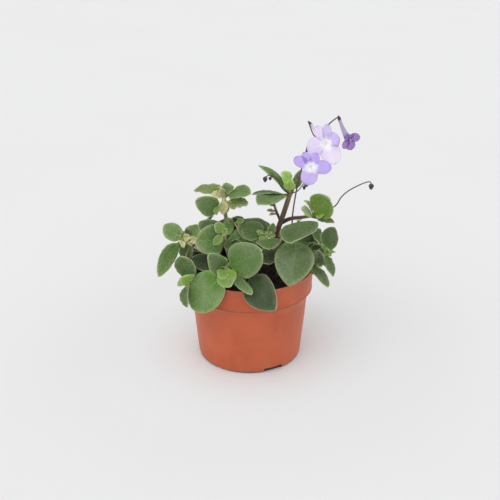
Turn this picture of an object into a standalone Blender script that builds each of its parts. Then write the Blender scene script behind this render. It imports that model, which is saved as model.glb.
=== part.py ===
# A flowering streptocarpus of the small, bushy, soft-leaved kind, in a round plastic nursery pot.
# Upright is +Z, the viewer stands at -Y, and the origin is the middle of the pot's underside.
# Lengths in the tables are millimetres and angles are degrees: heading 0 is +X, -90 is towards the viewer.
import math
from typing import NamedTuple

import bmesh
import bpy
from mathutils import Matrix, Vector

MM = 0.001
COLLECTION = "potted_streptocarpus"
CUTTERS = "cutters"
GAP = 0.3
SHARP_ANGLE = 40.0
WELD = 0.01
NEARLY_IN_LINE = 0.2  # sine of the angle between two directions

# Pot
POT_RIM_RADIUS = 60.0
POT_HEIGHT = 91.0
POT_WALL = 1.3
POT_FLOOR = 1.5
FLOOR_CORNER_Z = 3.0
LIP_ROUNDING = 0.6
BAND_FOOT_RADIUS = 59.2
BAND_FOOT_Z = 69.5
STEP_RADIUS = 54.9
STEP_Z = 61.0
FOOT_RADIUS = 49.2
FOOT_ROUNDING = 2.5
FOOT_STEPS = 2
POT_STEPS = 48
NOTCH_HEADINGS = (-63.0, 57.0, 177.0)
NOTCH_LENGTH = 19.0
NOTCH_DEPTH = 13.0
NOTCH_HEIGHT = 3.4
DRAIN_RADIUS = 4.0
DRAIN_CIRCLE_RADIUS = 26.0
DRAIN_HEADINGS = (0.0, 90.0, 180.0, 270.0)
DRAIN_SIDES = 16
DRAIN_CUT_LENGTH = 6.0

# Potting soil
SOIL_EDGE_Z = 81.0
SOIL_CROWN = 2.0
SOIL_RINGS = 4

# Leaves
LEAF_THICKNESS = 0.8
PETIOLE_WIDTH = 2.0
PETIOLE_SHARE = 0.12
TIP_WIDTH = 1.2
WIDEST_AT = 0.45  # share of the blade, past the petiole
ROUND_TIP_POWER = 0.5
POINTED_TIP_POWER = 0.95
LEAF_ALONG = 6
LEAF_ACROSS = 4

# Stems and flower stalks
STEM_SPANS = 3
STEM_FOOT = 2.0
STALK_SPANS = 2
SIDES_RESOLUTION = 2
THINNING = 0.8
BUD_SIDES = 8
BUD_RINGS = 6

# Flowers
TUBE_BASE_RADIUS = 1.2
THROAT_RADIUS = 2.8
SINUS_RADIUS = 6.0
COROLLA_THICKNESS = 0.5
TUBE_RINGS = 5
TUBE_FLARE = 1.5
TUBE_HANDLE = 0.45  # share of the tube's length that runs straight out of the face
LOBE_REACHES = (0.95, 1.0, 0.95)  # shares of the lobe's reach, between two notches
LIMB_RINGS = (0.55, 1.0)  # shares of the way from the throat to the rim
LIMB_RISE = 1.2
LIMB_FALL = 0.9
CALYX_RADIUS = 1.6
CALYX_LENGTH = 3.0
CALYX_GAP = 0.4
CALYX_OVERLAP = 0.3


class Leaf(NamedTuple):
    """One leaf: where it grows, where it points and which way its upper side looks."""

    name: str
    stem: str
    at: float  # share of the stem's length
    heading: float
    climb: float
    length: float
    width: float
    face_heading: float
    face_climb: float
    cup: float = 0.2  # rise of the edges, as a share of the half width
    arch: float = 0.06  # rise of the midrib's middle, as a share of the length
    point: float = 0.3  # 0 is a round tip, 1 a pointed one
    tone: str = "leaf_green"


class Flower(NamedTuple):
    """One flower: where its calyx and its throat are, which way it looks, and how far it is turned."""

    name: str
    calyx: tuple
    throat: tuple
    face_heading: float
    face_climb: float
    lobes: tuple  # angle round the face, reach from the throat and angular span of each lobe
    pedicel: tuple  # its own stalk, from a point of the shared one
    tone: str


class Stalk(NamedTuple):
    """One stalk of flowers or buds: its main run, its side run and the place and size of its buds."""

    name: str
    run: tuple
    radius: float
    side_run: tuple = ()
    buds: tuple = ()  # centre, length and thickness of each


# Each stem has the points that it passes, its radius at the foot and its radius at the tip.
STEMS = {
    "upper_left": ([(-14, 4), (-18, 6, 106), (-22, 8, 134), (-24, 9, 150), (-23, 10, 158)], 1.8, 1.3),
    "left": ([(-24, -8), (-32, -22, 106), (-42, -21, 113), (-52, -15, 117), (-62, -8, 119)], 1.8, 1.3),
    "lower_left": ([(-51, -15, 116.5), (-57, -21, 111), (-58, -31, 101), (-54, -40, 90)], 1.3, 1.2),
    "middle_left": ([(-10, -10), (-16, -12, 104), (-22, -12, 128)], 1.8, 1.3),
    "front": ([(-6, -24), (-13, -38, 96), (-22, -51, 107)], 1.8, 1.3),
    "front_low": ([(-8, -29, 88), (-4, -36, 93), (-2, -42, 99)], 1.4, 1.3),
    "middle": ([(6, -14), (11, -18, 106), (15, -21, 128)], 1.8, 1.3),
    "right_middle": ([(26, -12), (38, -20, 108), (45, -24, 138)], 1.8, 1.3),
    "tall": ([(14, 6), (20, 8, 104), (29, 8, 130), (35, 8, 150), (38, 8, 162)], 2.6, 1.6),
    "upper_right": ([(29, 8, 129), (38, 9, 133), (49, 10, 134), (61, 10, 136)], 1.7, 1.3),
    "right": ([(36, 2), (50, -4, 94), (64, -7, 99), (73, -7, 104)], 1.8, 1.3),
    "right_low": ([(48, -3.5, 93), (55, -12, 97), (63, -18, 97)], 1.4, 1.2),
    "back_left": ([(-12, 20), (-22, 30, 94), (-30, 36, 103)], 1.8, 1.3),
    "back_right": ([(16, 24), (26, 34, 93), (33, 40, 101)], 1.8, 1.3),
}

# The stems that grew from one cutting are one piece, with the colour of its bark.
PLANTLETS = {
    "stem_upper_left": (("upper_left",), "stem_green"),
    "stems_left": (("left", "lower_left"), "stem_green"),
    "stem_middle_left": (("middle_left",), "stem_green"),
    "stems_front": (("front", "front_low"), "stem_green"),
    "stem_middle": (("middle",), "stem_green"),
    "stem_right_middle": (("right_middle",), "stem_green"),
    "stems_tall": (("tall", "upper_right"), "stem_brown"),
    "stems_right": (("right", "right_low"), "stem_green"),
    "stem_back_left": (("back_left",), "stem_green"),
    "stem_back_right": (("back_right",), "stem_green"),
}

LEAVES = (
    Leaf("leaf_upper_left_1", "upper_left", 0.97, -163, 14, 28, 22, -90, 76, cup=0.45),
    Leaf("leaf_upper_left_2", "upper_left", 0.84, -147, 9, 28, 22, -100, 18),
    Leaf("leaf_upper_left_3", "upper_left", 0.97, -5, 17, 25, 18, -70, 60),
    Leaf("leaf_upper_left_4", "upper_left", 0.88, -30, 4, 21, 12, -120, 40),
    Leaf("leaf_left_1", "left", 0.98, 150, 26, 23, 21, -80, 30),
    Leaf("leaf_left_2", "left", 0.95, -158, -49, 37, 20, -120, 35, point=0.5),
    Leaf("leaf_left_3", "left", 0.93, 60, 40, 17, 15, -60, 40),
    Leaf("leaf_lower_left_1", "lower_left", 0.95, 180, 80, 24, 22, -90, 10),
    Leaf("leaf_lower_left_2", "lower_left", 0.97, -109, -75, 24, 12, -150, 20),
    Leaf("leaf_low_left", "front", 0.45, 172, 3, 38, 26, -90, 55, tone="leaf_grey"),
    Leaf("leaf_middle_left_1", "middle_left", 0.95, -150, 5, 29, 30, -85, 35, cup=0.3),
    Leaf("leaf_middle_left_2", "middle_left", 0.94, 61, 52, 17, 12, -75, 10),
    Leaf("leaf_middle_left_3", "middle_left", 0.88, 133, 10, 28, 15, -90, 80),
    Leaf("leaf_front_1", "front", 0.97, 28, 28, 35, 35, -82, 30, cup=0.08, point=0.1),
    Leaf("leaf_front_2", "front", 0.89, -158, 46, 22, 20, -108, 15),
    Leaf("leaf_front_3", "front", 0.98, -76, -12, 20, 19, -90, 50, tone="leaf_young"),
    Leaf("leaf_front_4", "front", 0.85, -147, -35, 43, 39, -110, 25, point=0.1),
    Leaf("leaf_front_5", "front_low", 0.97, -58, -24, 46, 33, -80, 50, 0.2, 0.13, 0.6, "leaf_grey"),
    Leaf("leaf_front_6", "front", 0.84, -45, -15, 32, 13, -90, 60, arch=0.02),
    Leaf("leaf_middle_1", "middle", 0.90, 165, 18, 24, 25, -90, 30),
    Leaf("leaf_middle_2", "middle", 0.97, -78, 0, 24, 23, -90, 62),
    Leaf("leaf_middle_3", "middle", 0.85, 105, 24, 28, 27, -90, 80),
    Leaf("leaf_middle_4", "middle", 0.60, 164, 38, 31, 13, -140, 30),
    Leaf("leaf_middle_5", "middle", 0.72, -72, -18, 26, 22, -80, 60, tone="leaf_grey"),
    Leaf("leaf_right_middle_1", "right_middle", 0.97, -86, 8, 34, 38, -120, 50),
    Leaf("leaf_right_middle_2", "right_middle", 0.84, -107, -56, 44, 40, -75, 14, 0.2, 0.06, 0.8, "leaf_grey"),
    Leaf("leaf_right_middle_3", "right_middle", 0.80, 12, 8, 28, 20, -60, 50),
    Leaf("leaf_tall_1", "tall", 0.99, -167, 44, 38, 10, -90, 35, cup=0.6, point=0.8),
    Leaf("leaf_tall_2", "tall", 0.98, 0, 83, 20, 19, -90, 5, cup=0.5, tone="leaf_young"),
    Leaf("leaf_tall_3", "tall", 0.93, -141, 0, 35, 24, -60, 72, point=0.5),
    Leaf("leaf_tall_4", "tall", 0.94, 160, -5, 33, 18, -90, 80, tone="leaf_grey"),
    Leaf("leaf_upper_right_1", "upper_right", 0.97, -37, 58, 25, 24, -95, 15, cup=0.3, tone="leaf_young"),
    Leaf("leaf_upper_right_2", "upper_right", 0.92, -150, 30, 16, 12, -60, 40),
    Leaf("leaf_right_1", "right", 0.97, 56, 65, 24, 17, -100, 15),
    Leaf("leaf_right_2", "right", 0.96, -62, -54, 21, 11, -20, 30),
    Leaf("leaf_right_3", "right_low", 0.96, -61, -38, 23, 12, -50, 45),
    Leaf("leaf_back_left_1", "back_left", 0.97, 165, 4, 34, 32, 110, 65),
    Leaf("leaf_back_left_2", "back_left", 0.90, 60, -8, 34, 33, 90, 60),
    Leaf("leaf_back_right_1", "back_right", 0.97, 5, 8, 34, 32, 60, 65),
    Leaf("leaf_back_right_2", "back_right", 0.93, 112, -8, 36, 34, 95, 60),
    Leaf("leaf_back_right_3", "back_right", 0.70, 50, -6, 36, 34, 60, 55, tone="leaf_grey"),
)

FLOWERS = (
    Flower(
        "corolla_front", (55, 9, 204), (55, -15, 192), -90, 12,
        ((-3, 19, 62), (64, 15, 58), (117, 16, 58), (154, 19, 60), (262, 18, 90)),
        ((50, 2, 197), (52, 7, 204)), "petal_lilac",
    ),
    Flower(
        "corolla_back", (55, 20, 221), (69, 0, 208), -80, 8,
        ((15, 14, 64), (85, 15, 58), (122, 17, 54), (186, 19, 66), (295, 21, 84)),
        ((58, 5, 210), (54, 14, 218)), "petal_lilac",
    ),
    Flower(
        "corolla_side", (84, 1, 228), (91, -4, 211), -50, -40,
        ((0, 10, 66), (66, 9, 60), (120, 9, 60), (180, 10, 66), (270, 11, 90)),
        ((77, 3, 231),), "petal_violet",
    ),
)

STALKS = (
    Stalk(
        "flower_stalk",
        ((40, -20.2, 122), (38.6, -15.5, 138), (39.5, -13, 151), (42, -10, 167), (45, -8, 180),
         (50, 2, 197), (58, 5, 210), (69, 3, 225), (77, 3, 231)),
        0.7,
    ),
    Stalk(
        "bud_stalk_right",
        ((61.5, 12.2, 136.5), (79, 14, 143), (85, 12, 153), (91, 8, 161), (102, 4, 169), (109, 2, 172),
         (110.8, 0.6, 170)),
        0.6, buds=(((110.5, 0, 168), 5.0, 3.4),),
    ),
    Stalk(
        "bud_stalk_left",
        ((35.8, 5, 160), (31.6, 1, 164), (28, -2, 169.5), (26, -3, 174.5), (23, -4, 178.5), (18, -5.4, 181),
         (14.2, -6, 179)),
        0.6, side_run=((22.6, -4.1, 179), (20, -4.8, 179.4), (18.6, -5, 178.2)),
        buds=(((14, -6, 177), 5.0, 3.6), ((18.5, -5, 177.4), 3.0, 2.4)),
    ),
    Stalk(
        "bud_stalk_middle",
        ((39.3, 6, 159.5), (44, 0, 164), (47, -4, 169.5), (50, -6, 174), (52.5, -7, 175.5), (54, -7, 174)),
        0.5, side_run=((50.4, -6.2, 174.3), (51.8, -6.6, 172.8), (52.6, -6.8, 170.8)),
        buds=(((54.2, -7, 172.8), 4.0, 2.6), ((52.6, -6.8, 169.8), 3.6, 2.2)),
    ),
)

# Base colour and roughness of each finish
FINISHES = {
    "pot_plastic": ((0.60, 0.18, 0.09), 0.42),
    "peat": ((0.020, 0.015, 0.012), 0.95),
    "stem_green": ((0.35, 0.38, 0.16), 0.60),
    "stem_brown": ((0.19, 0.10, 0.07), 0.65),
    "leaf_green": ((0.13, 0.26, 0.08), 0.62),
    "leaf_grey": ((0.10, 0.18, 0.08), 0.66),
    "leaf_young": ((0.26, 0.42, 0.10), 0.58),
    "stalk_purple": ((0.08, 0.05, 0.07), 0.55),
    "petal_lilac": ((0.55, 0.45, 0.86), 0.50),
    "petal_violet": ((0.36, 0.22, 0.62), 0.50),
}


def clear_scene():
    for obj in list(bpy.data.objects):
        bpy.data.objects.remove(obj, do_unlink=True)


def make_collection(name):
    collection = bpy.data.collections.new(name)
    bpy.context.scene.collection.children.link(collection)
    return collection


def make_finishes():
    finishes = {}
    for name, (colour, roughness) in FINISHES.items():
        material = bpy.data.materials.new(name)
        material.use_nodes = True
        shader = material.node_tree.nodes["Principled BSDF"]
        shader.inputs["Base Color"].default_value = (*colour, 1.0)
        shader.inputs["Roughness"].default_value = roughness
        shader.inputs["Metallic"].default_value = 0.0
        finishes[name] = material
    return finishes


def direction(heading, climb):
    turn, rise = math.radians(heading), math.radians(climb)
    return Vector((math.cos(turn) * math.cos(rise), math.sin(turn) * math.cos(rise), math.sin(rise)))


def add_object(name, data, collection, finish=None):
    obj = bpy.data.objects.new(name, data)
    collection.objects.link(obj)
    if finish is not None:
        data.materials.append(finish)
    return obj


def mesh_from(name, bm):
    bmesh.ops.recalc_face_normals(bm, faces=bm.faces)
    mesh = bpy.data.meshes.new(name)
    bm.to_mesh(mesh)
    bm.free()
    mesh.shade_smooth()
    mesh.set_sharp_from_angle(angle=math.radians(SHARP_ANGLE))
    return mesh


def evaluated_mesh(obj):
    bpy.context.view_layer.update()
    return bpy.data.meshes.new_from_object(obj.evaluated_get(bpy.context.evaluated_depsgraph_get()))


def turned_solid(name, profile, steps, collection, finish):
    """A solid of revolution whose profile runs from the axis, over the top and down the outside."""
    mesh = bpy.data.meshes.new(name)
    points = [(r * MM, 0.0, z * MM) for r, z in profile]
    mesh.from_pydata(points, [(i, i + 1) for i in range(len(points) - 1)], [])
    obj = add_object(name, mesh, collection, finish)
    screw = obj.modifiers.new("turn", "SCREW")
    screw.steps = screw.render_steps = steps
    screw.use_merge_vertices = True
    screw.merge_threshold = WELD * MM
    screw.use_smooth_shade = True
    return obj


def arc_points(centre, radius, start, end, steps):
    angles = [math.radians(start + (end - start) * i / steps) for i in range(steps + 1)]
    return [(centre[0] + radius * math.cos(a), centre[1] + radius * math.sin(a)) for a in angles]


def pot_inside_radius(z):
    """The inner wall's radius at a height above the rounded foot."""
    if z > BAND_FOOT_Z:
        share = (z - BAND_FOOT_Z) / (POT_HEIGHT - BAND_FOOT_Z)
        return BAND_FOOT_RADIUS + share * (POT_RIM_RADIUS - BAND_FOOT_RADIUS) - POT_WALL
    if z > STEP_Z:
        share = (z - STEP_Z) / (BAND_FOOT_Z - STEP_Z)
        return STEP_RADIUS + share * (BAND_FOOT_RADIUS - STEP_RADIUS) - POT_WALL
    share = z / STEP_Z
    return FOOT_RADIUS + share * (STEP_RADIUS - FOOT_RADIUS) - POT_WALL


def make_pot(collection, cutters, finish):
    foot = (FOOT_RADIUS - FOOT_ROUNDING, FOOT_ROUNDING)
    lip_z = POT_HEIGHT - LIP_ROUNDING
    floor_edge = pot_inside_radius(FLOOR_CORNER_Z) - FLOOR_CORNER_Z + POT_FLOOR
    profile = [(0.0, POT_FLOOR), (floor_edge, POT_FLOOR)]
    profile += [(pot_inside_radius(z), z) for z in (FLOOR_CORNER_Z, STEP_Z, BAND_FOOT_Z, lip_z)]
    profile += [(POT_RIM_RADIUS - POT_WALL + LIP_ROUNDING, POT_HEIGHT)]
    profile += [(POT_RIM_RADIUS - LIP_ROUNDING, POT_HEIGHT), (POT_RIM_RADIUS, lip_z)]
    profile += [(BAND_FOOT_RADIUS, BAND_FOOT_Z), (STEP_RADIUS, STEP_Z)]
    profile += arc_points(foot, FOOT_ROUNDING, 0, -90, FOOT_STEPS)
    profile += [(0.0, 0.0)]
    pot = turned_solid("pot", profile, POT_STEPS, collection, finish)
    for index, heading in enumerate(NOTCH_HEADINGS):
        cut(pot, notch_cutter(f"notch_cutter_{index + 1}", heading, cutters))
    for index, heading in enumerate(DRAIN_HEADINGS):
        cut(pot, drain_cutter(f"drain_cutter_{index + 1}", heading, cutters))
    return pot


def notch_cutter(name, heading, cutters):
    bm = bmesh.new()
    size = Matrix.Diagonal((NOTCH_DEPTH * MM, NOTCH_LENGTH * MM, 2 * NOTCH_HEIGHT * MM, 1.0))
    bmesh.ops.create_cube(bm, size=1.0, matrix=size)
    cutter = add_object(name, mesh_from(name, bm), cutters)
    turn = Matrix.Rotation(math.radians(heading), 4, "Z")
    cutter.matrix_world = turn @ Matrix.Translation((FOOT_RADIUS * MM, 0.0, 0.0))
    return cutter


def drain_cutter(name, heading, cutters):
    bm = bmesh.new()
    bmesh.ops.create_cone(
        bm, cap_ends=True, segments=DRAIN_SIDES, radius1=DRAIN_RADIUS * MM, radius2=DRAIN_RADIUS * MM,
        depth=DRAIN_CUT_LENGTH * MM,
    )
    cutter = add_object(name, mesh_from(name, bm), cutters)
    cutter.location = direction(heading, 0) * DRAIN_CIRCLE_RADIUS * MM
    return cutter


def cut(obj, cutter):
    cutter.hide_render = True
    cutter.display_type = "WIRE"
    boolean = obj.modifiers.new(cutter.name, "BOOLEAN")
    boolean.operation = "DIFFERENCE"
    boolean.object = cutter


def soil_height(x, y):
    """Height of the soil's gently crowned top."""
    share = math.hypot(x, y) / pot_inside_radius(SOIL_EDGE_Z)
    return SOIL_EDGE_Z + SOIL_CROWN * (1.0 - share**2)


def make_soil(collection, finish):
    edge = pot_inside_radius(SOIL_EDGE_Z) - GAP
    top = [(edge * i / SOIL_RINGS, soil_height(edge * i / SOIL_RINGS, 0.0)) for i in range(SOIL_RINGS + 1)]
    foot_z = POT_FLOOR + GAP
    side = [(pot_inside_radius(z) - GAP, z) for z in (BAND_FOOT_Z, STEP_Z, FLOOR_CORNER_Z + GAP)]
    bottom = [(side[-1][0] - FLOOR_CORNER_Z + POT_FLOOR, foot_z), (0.0, foot_z)]
    return turned_solid("soil", top + side + bottom, POT_STEPS, collection, finish)


def smooth_path(points, spans):
    """A Catmull-Rom curve through the points, with this many spans between each two of them."""
    knots = [Vector(p) for p in points]
    knots = [2 * knots[0] - knots[1], *knots, 2 * knots[-1] - knots[-2]]
    path = []
    for a, b, c, d in zip(knots, knots[1:], knots[2:], knots[3:]):
        for i in range(spans):
            t = i / spans
            bend = 2 * b + (c - a) * t + (2 * a - 5 * b + 4 * c - d) * t**2 + (3 * b - a - 3 * c + d) * t**3
            path.append(0.5 * bend)
    return [*path, knots[-2]]


def stem_path(name):
    """The stem's smooth run. One that stands on the soil, whose foot has no height, starts upright."""
    points = list(STEMS[name][0])
    if len(points[0]) == 3:
        return smooth_path(points, STEM_SPANS)
    x, y = points[0]
    foot = Vector((x, y, soil_height(x, y) + GAP))
    raised = foot + Vector((0, 0, STEM_FOOT))
    return [foot, *smooth_path([raised, *points[1:]], STEM_SPANS)]


def point_on_stem(name, share):
    """Place, direction and radius at a share of the stem's length."""
    path = stem_path(name)
    lengths = [(b - a).length for a, b in zip(path, path[1:])]
    left = share * sum(lengths)
    for a, b, length in zip(path, path[1:], lengths):
        if left <= length:
            break
        left -= length
    foot_radius, tip_radius = STEMS[name][1:]
    radius = foot_radius + share * (tip_radius - foot_radius)
    return a.lerp(b, min(left / length, 1.0)), (b - a).normalized(), radius


def make_tube(name, path, start_radius, end_radius, collection, finish):
    """A round tapering tube along the path, as a mesh with welded caps."""
    curve = bpy.data.curves.new(name, "CURVE")
    curve.dimensions = "3D"
    curve.bevel_depth = MM
    curve.bevel_resolution = SIDES_RESOLUTION
    curve.use_fill_caps = True
    spline = curve.splines.new("POLY")
    spline.points.add(len(path) - 1)
    origin = path[0]
    for i, point in enumerate(path):
        share = i / (len(path) - 1)
        spline.points[i].co = (*((point - origin) * MM), 1.0)
        spline.points[i].radius = start_radius + share * (end_radius - start_radius)
    source = add_object(f"{name}_curve", curve, collection)
    source.location = origin * MM
    mesh = evaluated_mesh(source)
    bm = bmesh.new()
    bm.from_mesh(mesh)
    bpy.data.meshes.remove(mesh)
    bmesh.ops.remove_doubles(bm, verts=bm.verts, dist=WELD * MM)
    tube = add_object(name, mesh_from(name, bm), collection, finish)
    tube.matrix_world = source.matrix_world
    bpy.data.objects.remove(source, do_unlink=True)
    return tube


def unite(main, others):
    """Join the other closed solids into the main one and remove them."""
    for other in others:
        boolean = main.modifiers.new("join", "BOOLEAN")
        boolean.operation = "UNION"
        boolean.object = other
        mesh = evaluated_mesh(main)
        main.modifiers.clear()
        old, main.data = main.data, mesh
        bpy.data.meshes.remove(old)
        bpy.data.objects.remove(other, do_unlink=True)
    return main


def make_stems(collection, finishes):
    owners = {}
    for name, (parts, finish) in PLANTLETS.items():
        tubes = []
        for part in parts:
            label = name if part == parts[0] else part
            tubes.append(make_tube(label, stem_path(part), *STEMS[part][1:], collection, finishes[finish]))
        owner = unite(tubes[0], tubes[1:])
        owners.update({part: owner for part in parts})
    return owners


def blade_half_width(share, leaf):
    """Half of the leaf's width at a share of its length."""
    along = (share - PETIOLE_SHARE) / (1.0 - PETIOLE_SHARE)
    if along <= 0.0:
        return PETIOLE_WIDTH / 2
    if along < WIDEST_AT:
        outline = math.sqrt(max(0.0, 1.0 - ((WIDEST_AT - along) / WIDEST_AT) ** 2))
        return max(PETIOLE_WIDTH, leaf.width * outline) / 2
    off = min(1.0, (along - WIDEST_AT) / (1.0 - WIDEST_AT))
    power = ROUND_TIP_POWER + leaf.point * (POINTED_TIP_POWER - ROUND_TIP_POWER)
    outline = (1.0 - off**2) ** power
    return max(TIP_WIDTH, leaf.width * outline) / 2


def leaf_surface_point(leaf, along, across):
    """A point of the leaf, from its shares along (0 to 1) and across (-1 to 1), in the leaf's own axes."""
    half = blade_half_width(along, leaf)
    y = across * half
    rise = leaf.cup * leaf.width / 2 * (2 * y / leaf.width) ** 2
    rise += leaf.arch * leaf.length * 4 * along * (1.0 - along)
    return Vector((along * leaf.length, y, rise)) * MM


def leaf_frame(leaf):
    """The leaf's axes in the world and its base point, just clear of the stem."""
    ahead = direction(leaf.heading, leaf.climb)
    face = direction(leaf.face_heading, leaf.face_climb)
    up = (face - face.dot(ahead) * ahead).normalized()
    side = up.cross(ahead)
    place, along_stem, radius = point_on_stem(leaf.stem, leaf.at)
    away = ahead - ahead.dot(along_stem) * along_stem
    if away.length < NEARLY_IN_LINE:
        away = up - up.dot(along_stem) * along_stem
    away.normalize()
    reach = radius + GAP + abs(side.dot(away)) * PETIOLE_WIDTH / 2 + abs(up.dot(away)) * LEAF_THICKNESS / 2
    base = place + reach * away
    turn = Matrix((ahead, side, up)).transposed().to_4x4()
    return Matrix.Translation(base * MM) @ turn


def make_leaf(leaf, owner, collection, finish):
    bm = bmesh.new()
    bmesh.ops.create_grid(bm, x_segments=LEAF_ALONG, y_segments=LEAF_ACROSS, size=1.0)
    for vert in bm.verts:
        along = 0.5 * (1.0 - math.cos(0.5 * math.pi * (vert.co.x + 1.0)))
        vert.co = leaf_surface_point(leaf, along, vert.co.y)
    obj = add_object(leaf.name, mesh_from(leaf.name, bm), collection, finish)
    solidify = obj.modifiers.new("thickness", "SOLIDIFY")
    solidify.thickness = LEAF_THICKNESS * MM
    solidify.offset = 0.0
    obj.parent = owner
    obj.matrix_local = owner.matrix_world.inverted() @ leaf_frame(leaf)
    return obj


def make_bud(name, centre, length, thickness, collection, finish):
    """A closed bud: a small upright ellipsoid."""
    bm = bmesh.new()
    size = Matrix.Diagonal((thickness * MM, thickness * MM, length * MM, 1.0))
    bmesh.ops.create_uvsphere(bm, u_segments=BUD_SIDES, v_segments=BUD_RINGS, radius=0.5, matrix=size)
    obj = add_object(name, mesh_from(name, bm), collection, finish)
    obj.location = Vector(centre) * MM
    return obj


def make_stalks(collection, finishes):
    finish = finishes["stalk_purple"]
    for stalk in STALKS:
        thin = THINNING * stalk.radius
        path = smooth_path(stalk.run, STALK_SPANS)
        main = make_tube(stalk.name, path, stalk.radius, thin, collection, finish)
        extras = []
        if stalk.side_run:
            path = smooth_path(stalk.side_run, STALK_SPANS)
            extras.append(make_tube(f"{stalk.name}_side", path, thin, thin, collection, finish))
        for i, (centre, length, thickness) in enumerate(stalk.buds):
            extras.append(make_bud(f"{stalk.name}_bud_{i}", centre, length, thickness, collection, finish))
        if stalk.name == "flower_stalk":
            for flower in FLOWERS:
                extras += make_pedicel(flower, thin, collection, finish)
        unite(main, extras)


def make_pedicel(flower, radius, collection, finish):
    """The flower's own stalk and its calyx, which widens towards the corolla."""
    end = Vector(flower.calyx)
    start = end - corolla_path(flower)[0][1] * CALYX_LENGTH
    path = smooth_path([*flower.pedicel, start.lerp(end, CALYX_OVERLAP)], STALK_SPANS)
    pedicel = make_tube(f"{flower.name}_pedicel", path, radius, radius, collection, finish)
    calyx = make_tube(f"{flower.name}_calyx", [start, end], radius, CALYX_RADIUS, collection, finish)
    return [pedicel, calyx]


def corolla_path(flower):
    """The tube's centre line from the calyx to the throat, and its direction at each ring."""
    face = direction(flower.face_heading, flower.face_climb)
    start, end = Vector(flower.calyx), Vector(flower.throat)
    handle = end - face * TUBE_HANDLE * (end - start).length
    start += (handle - start).normalized() * CALYX_GAP
    path = []
    for i in range(TUBE_RINGS + 1):
        t = i / TUBE_RINGS
        place = (1 - t) ** 2 * start + 2 * t * (1 - t) * handle + t**2 * end
        tangent = (2 * (1 - t) * (handle - start) + 2 * t * (end - handle)).normalized()
        path.append((place, tangent))
    return path


def ring_axes(tangent):
    """Two directions across the tangent, the first level and to the right of someone facing the flower."""
    right = Vector((0, 0, 1)).cross(tangent)
    if right.length < NEARLY_IN_LINE:
        right = Vector((1, 0, 0))
    right.normalize()
    return right, tangent.cross(right)


def make_corolla(flower, collection, finish):
    path = corolla_path(flower)
    angles, reaches = [], []
    for centre, reach, span in flower.lobes:
        outline = [SINUS_RADIUS, *(reach * share for share in LOBE_REACHES)]
        angles += [math.radians(centre + span * (i / len(outline) - 0.5)) for i in range(len(outline))]
        reaches += outline
    rings = []
    for i, (place, tangent) in enumerate(path):
        t = i / TUBE_RINGS
        radius = TUBE_BASE_RADIUS + (THROAT_RADIUS - TUBE_BASE_RADIUS) * t**TUBE_FLARE
        rings.append((place, tangent, [radius] * len(angles)))
    place, tangent = path[-1]
    for share in LIMB_RINGS:
        radii = [THROAT_RADIUS + share * (reach - THROAT_RADIUS) for reach in reaches]
        rings.append((place + tangent * (LIMB_RISE - LIMB_FALL * share), tangent, radii))
    bm = bmesh.new()
    bmesh.ops.create_grid(bm, x_segments=len(angles), y_segments=len(rings) - 1, size=1.0)
    for vert in bm.verts:
        column = round(0.5 * (vert.co.x + 1.0) * len(angles)) % len(angles)
        place, tangent, radii = rings[round(0.5 * (vert.co.y + 1.0) * (len(rings) - 1))]
        right, up = ring_axes(tangent)
        angle = angles[column]
        vert.co = (place + radii[column] * (math.cos(angle) * right + math.sin(angle) * up)) * MM
    bmesh.ops.remove_doubles(bm, verts=bm.verts, dist=WELD * MM)
    corolla = add_object(flower.name, mesh_from(flower.name, bm), collection, finish)
    solidify = corolla.modifiers.new("thickness", "SOLIDIFY")
    solidify.thickness = COROLLA_THICKNESS * MM
    solidify.offset = 0.0
    return corolla


def main():
    clear_scene()
    parts = make_collection(COLLECTION)
    cutters = make_collection(CUTTERS)
    finishes = make_finishes()
    make_pot(parts, cutters, finishes["pot_plastic"])
    make_soil(parts, finishes["peat"])
    owners = make_stems(parts, finishes)
    for leaf in LEAVES:
        make_leaf(leaf, owners[leaf.stem], parts, finishes[leaf.tone])
    make_stalks(parts, finishes)
    for flower in FLOWERS:
        make_corolla(flower, parts, finishes[flower.tone])


main()
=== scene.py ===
# The looks of a small bushy streptocarpus in flower, in a round plastic nursery pot.
# Tables hold millimetres and degrees: heading 0 is +X and -90 is towards the viewer.
import math
from functools import partial
from typing import NamedTuple

import bmesh
import bpy
import numpy as np
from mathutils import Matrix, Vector


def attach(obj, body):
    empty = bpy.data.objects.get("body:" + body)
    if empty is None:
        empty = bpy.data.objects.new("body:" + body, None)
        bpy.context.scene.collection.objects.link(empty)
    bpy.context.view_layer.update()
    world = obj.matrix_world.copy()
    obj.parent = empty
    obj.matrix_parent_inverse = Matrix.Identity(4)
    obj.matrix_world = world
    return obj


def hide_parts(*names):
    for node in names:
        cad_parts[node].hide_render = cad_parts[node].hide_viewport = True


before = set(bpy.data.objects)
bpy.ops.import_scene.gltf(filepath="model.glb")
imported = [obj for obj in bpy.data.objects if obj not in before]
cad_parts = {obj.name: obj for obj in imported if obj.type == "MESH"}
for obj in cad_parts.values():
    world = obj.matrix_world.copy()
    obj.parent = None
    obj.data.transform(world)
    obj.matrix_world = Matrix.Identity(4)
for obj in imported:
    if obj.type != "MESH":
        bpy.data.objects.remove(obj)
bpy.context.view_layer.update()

MM = 0.001
GAP = 0.3
FULL_TURN = 2 * math.pi

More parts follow.
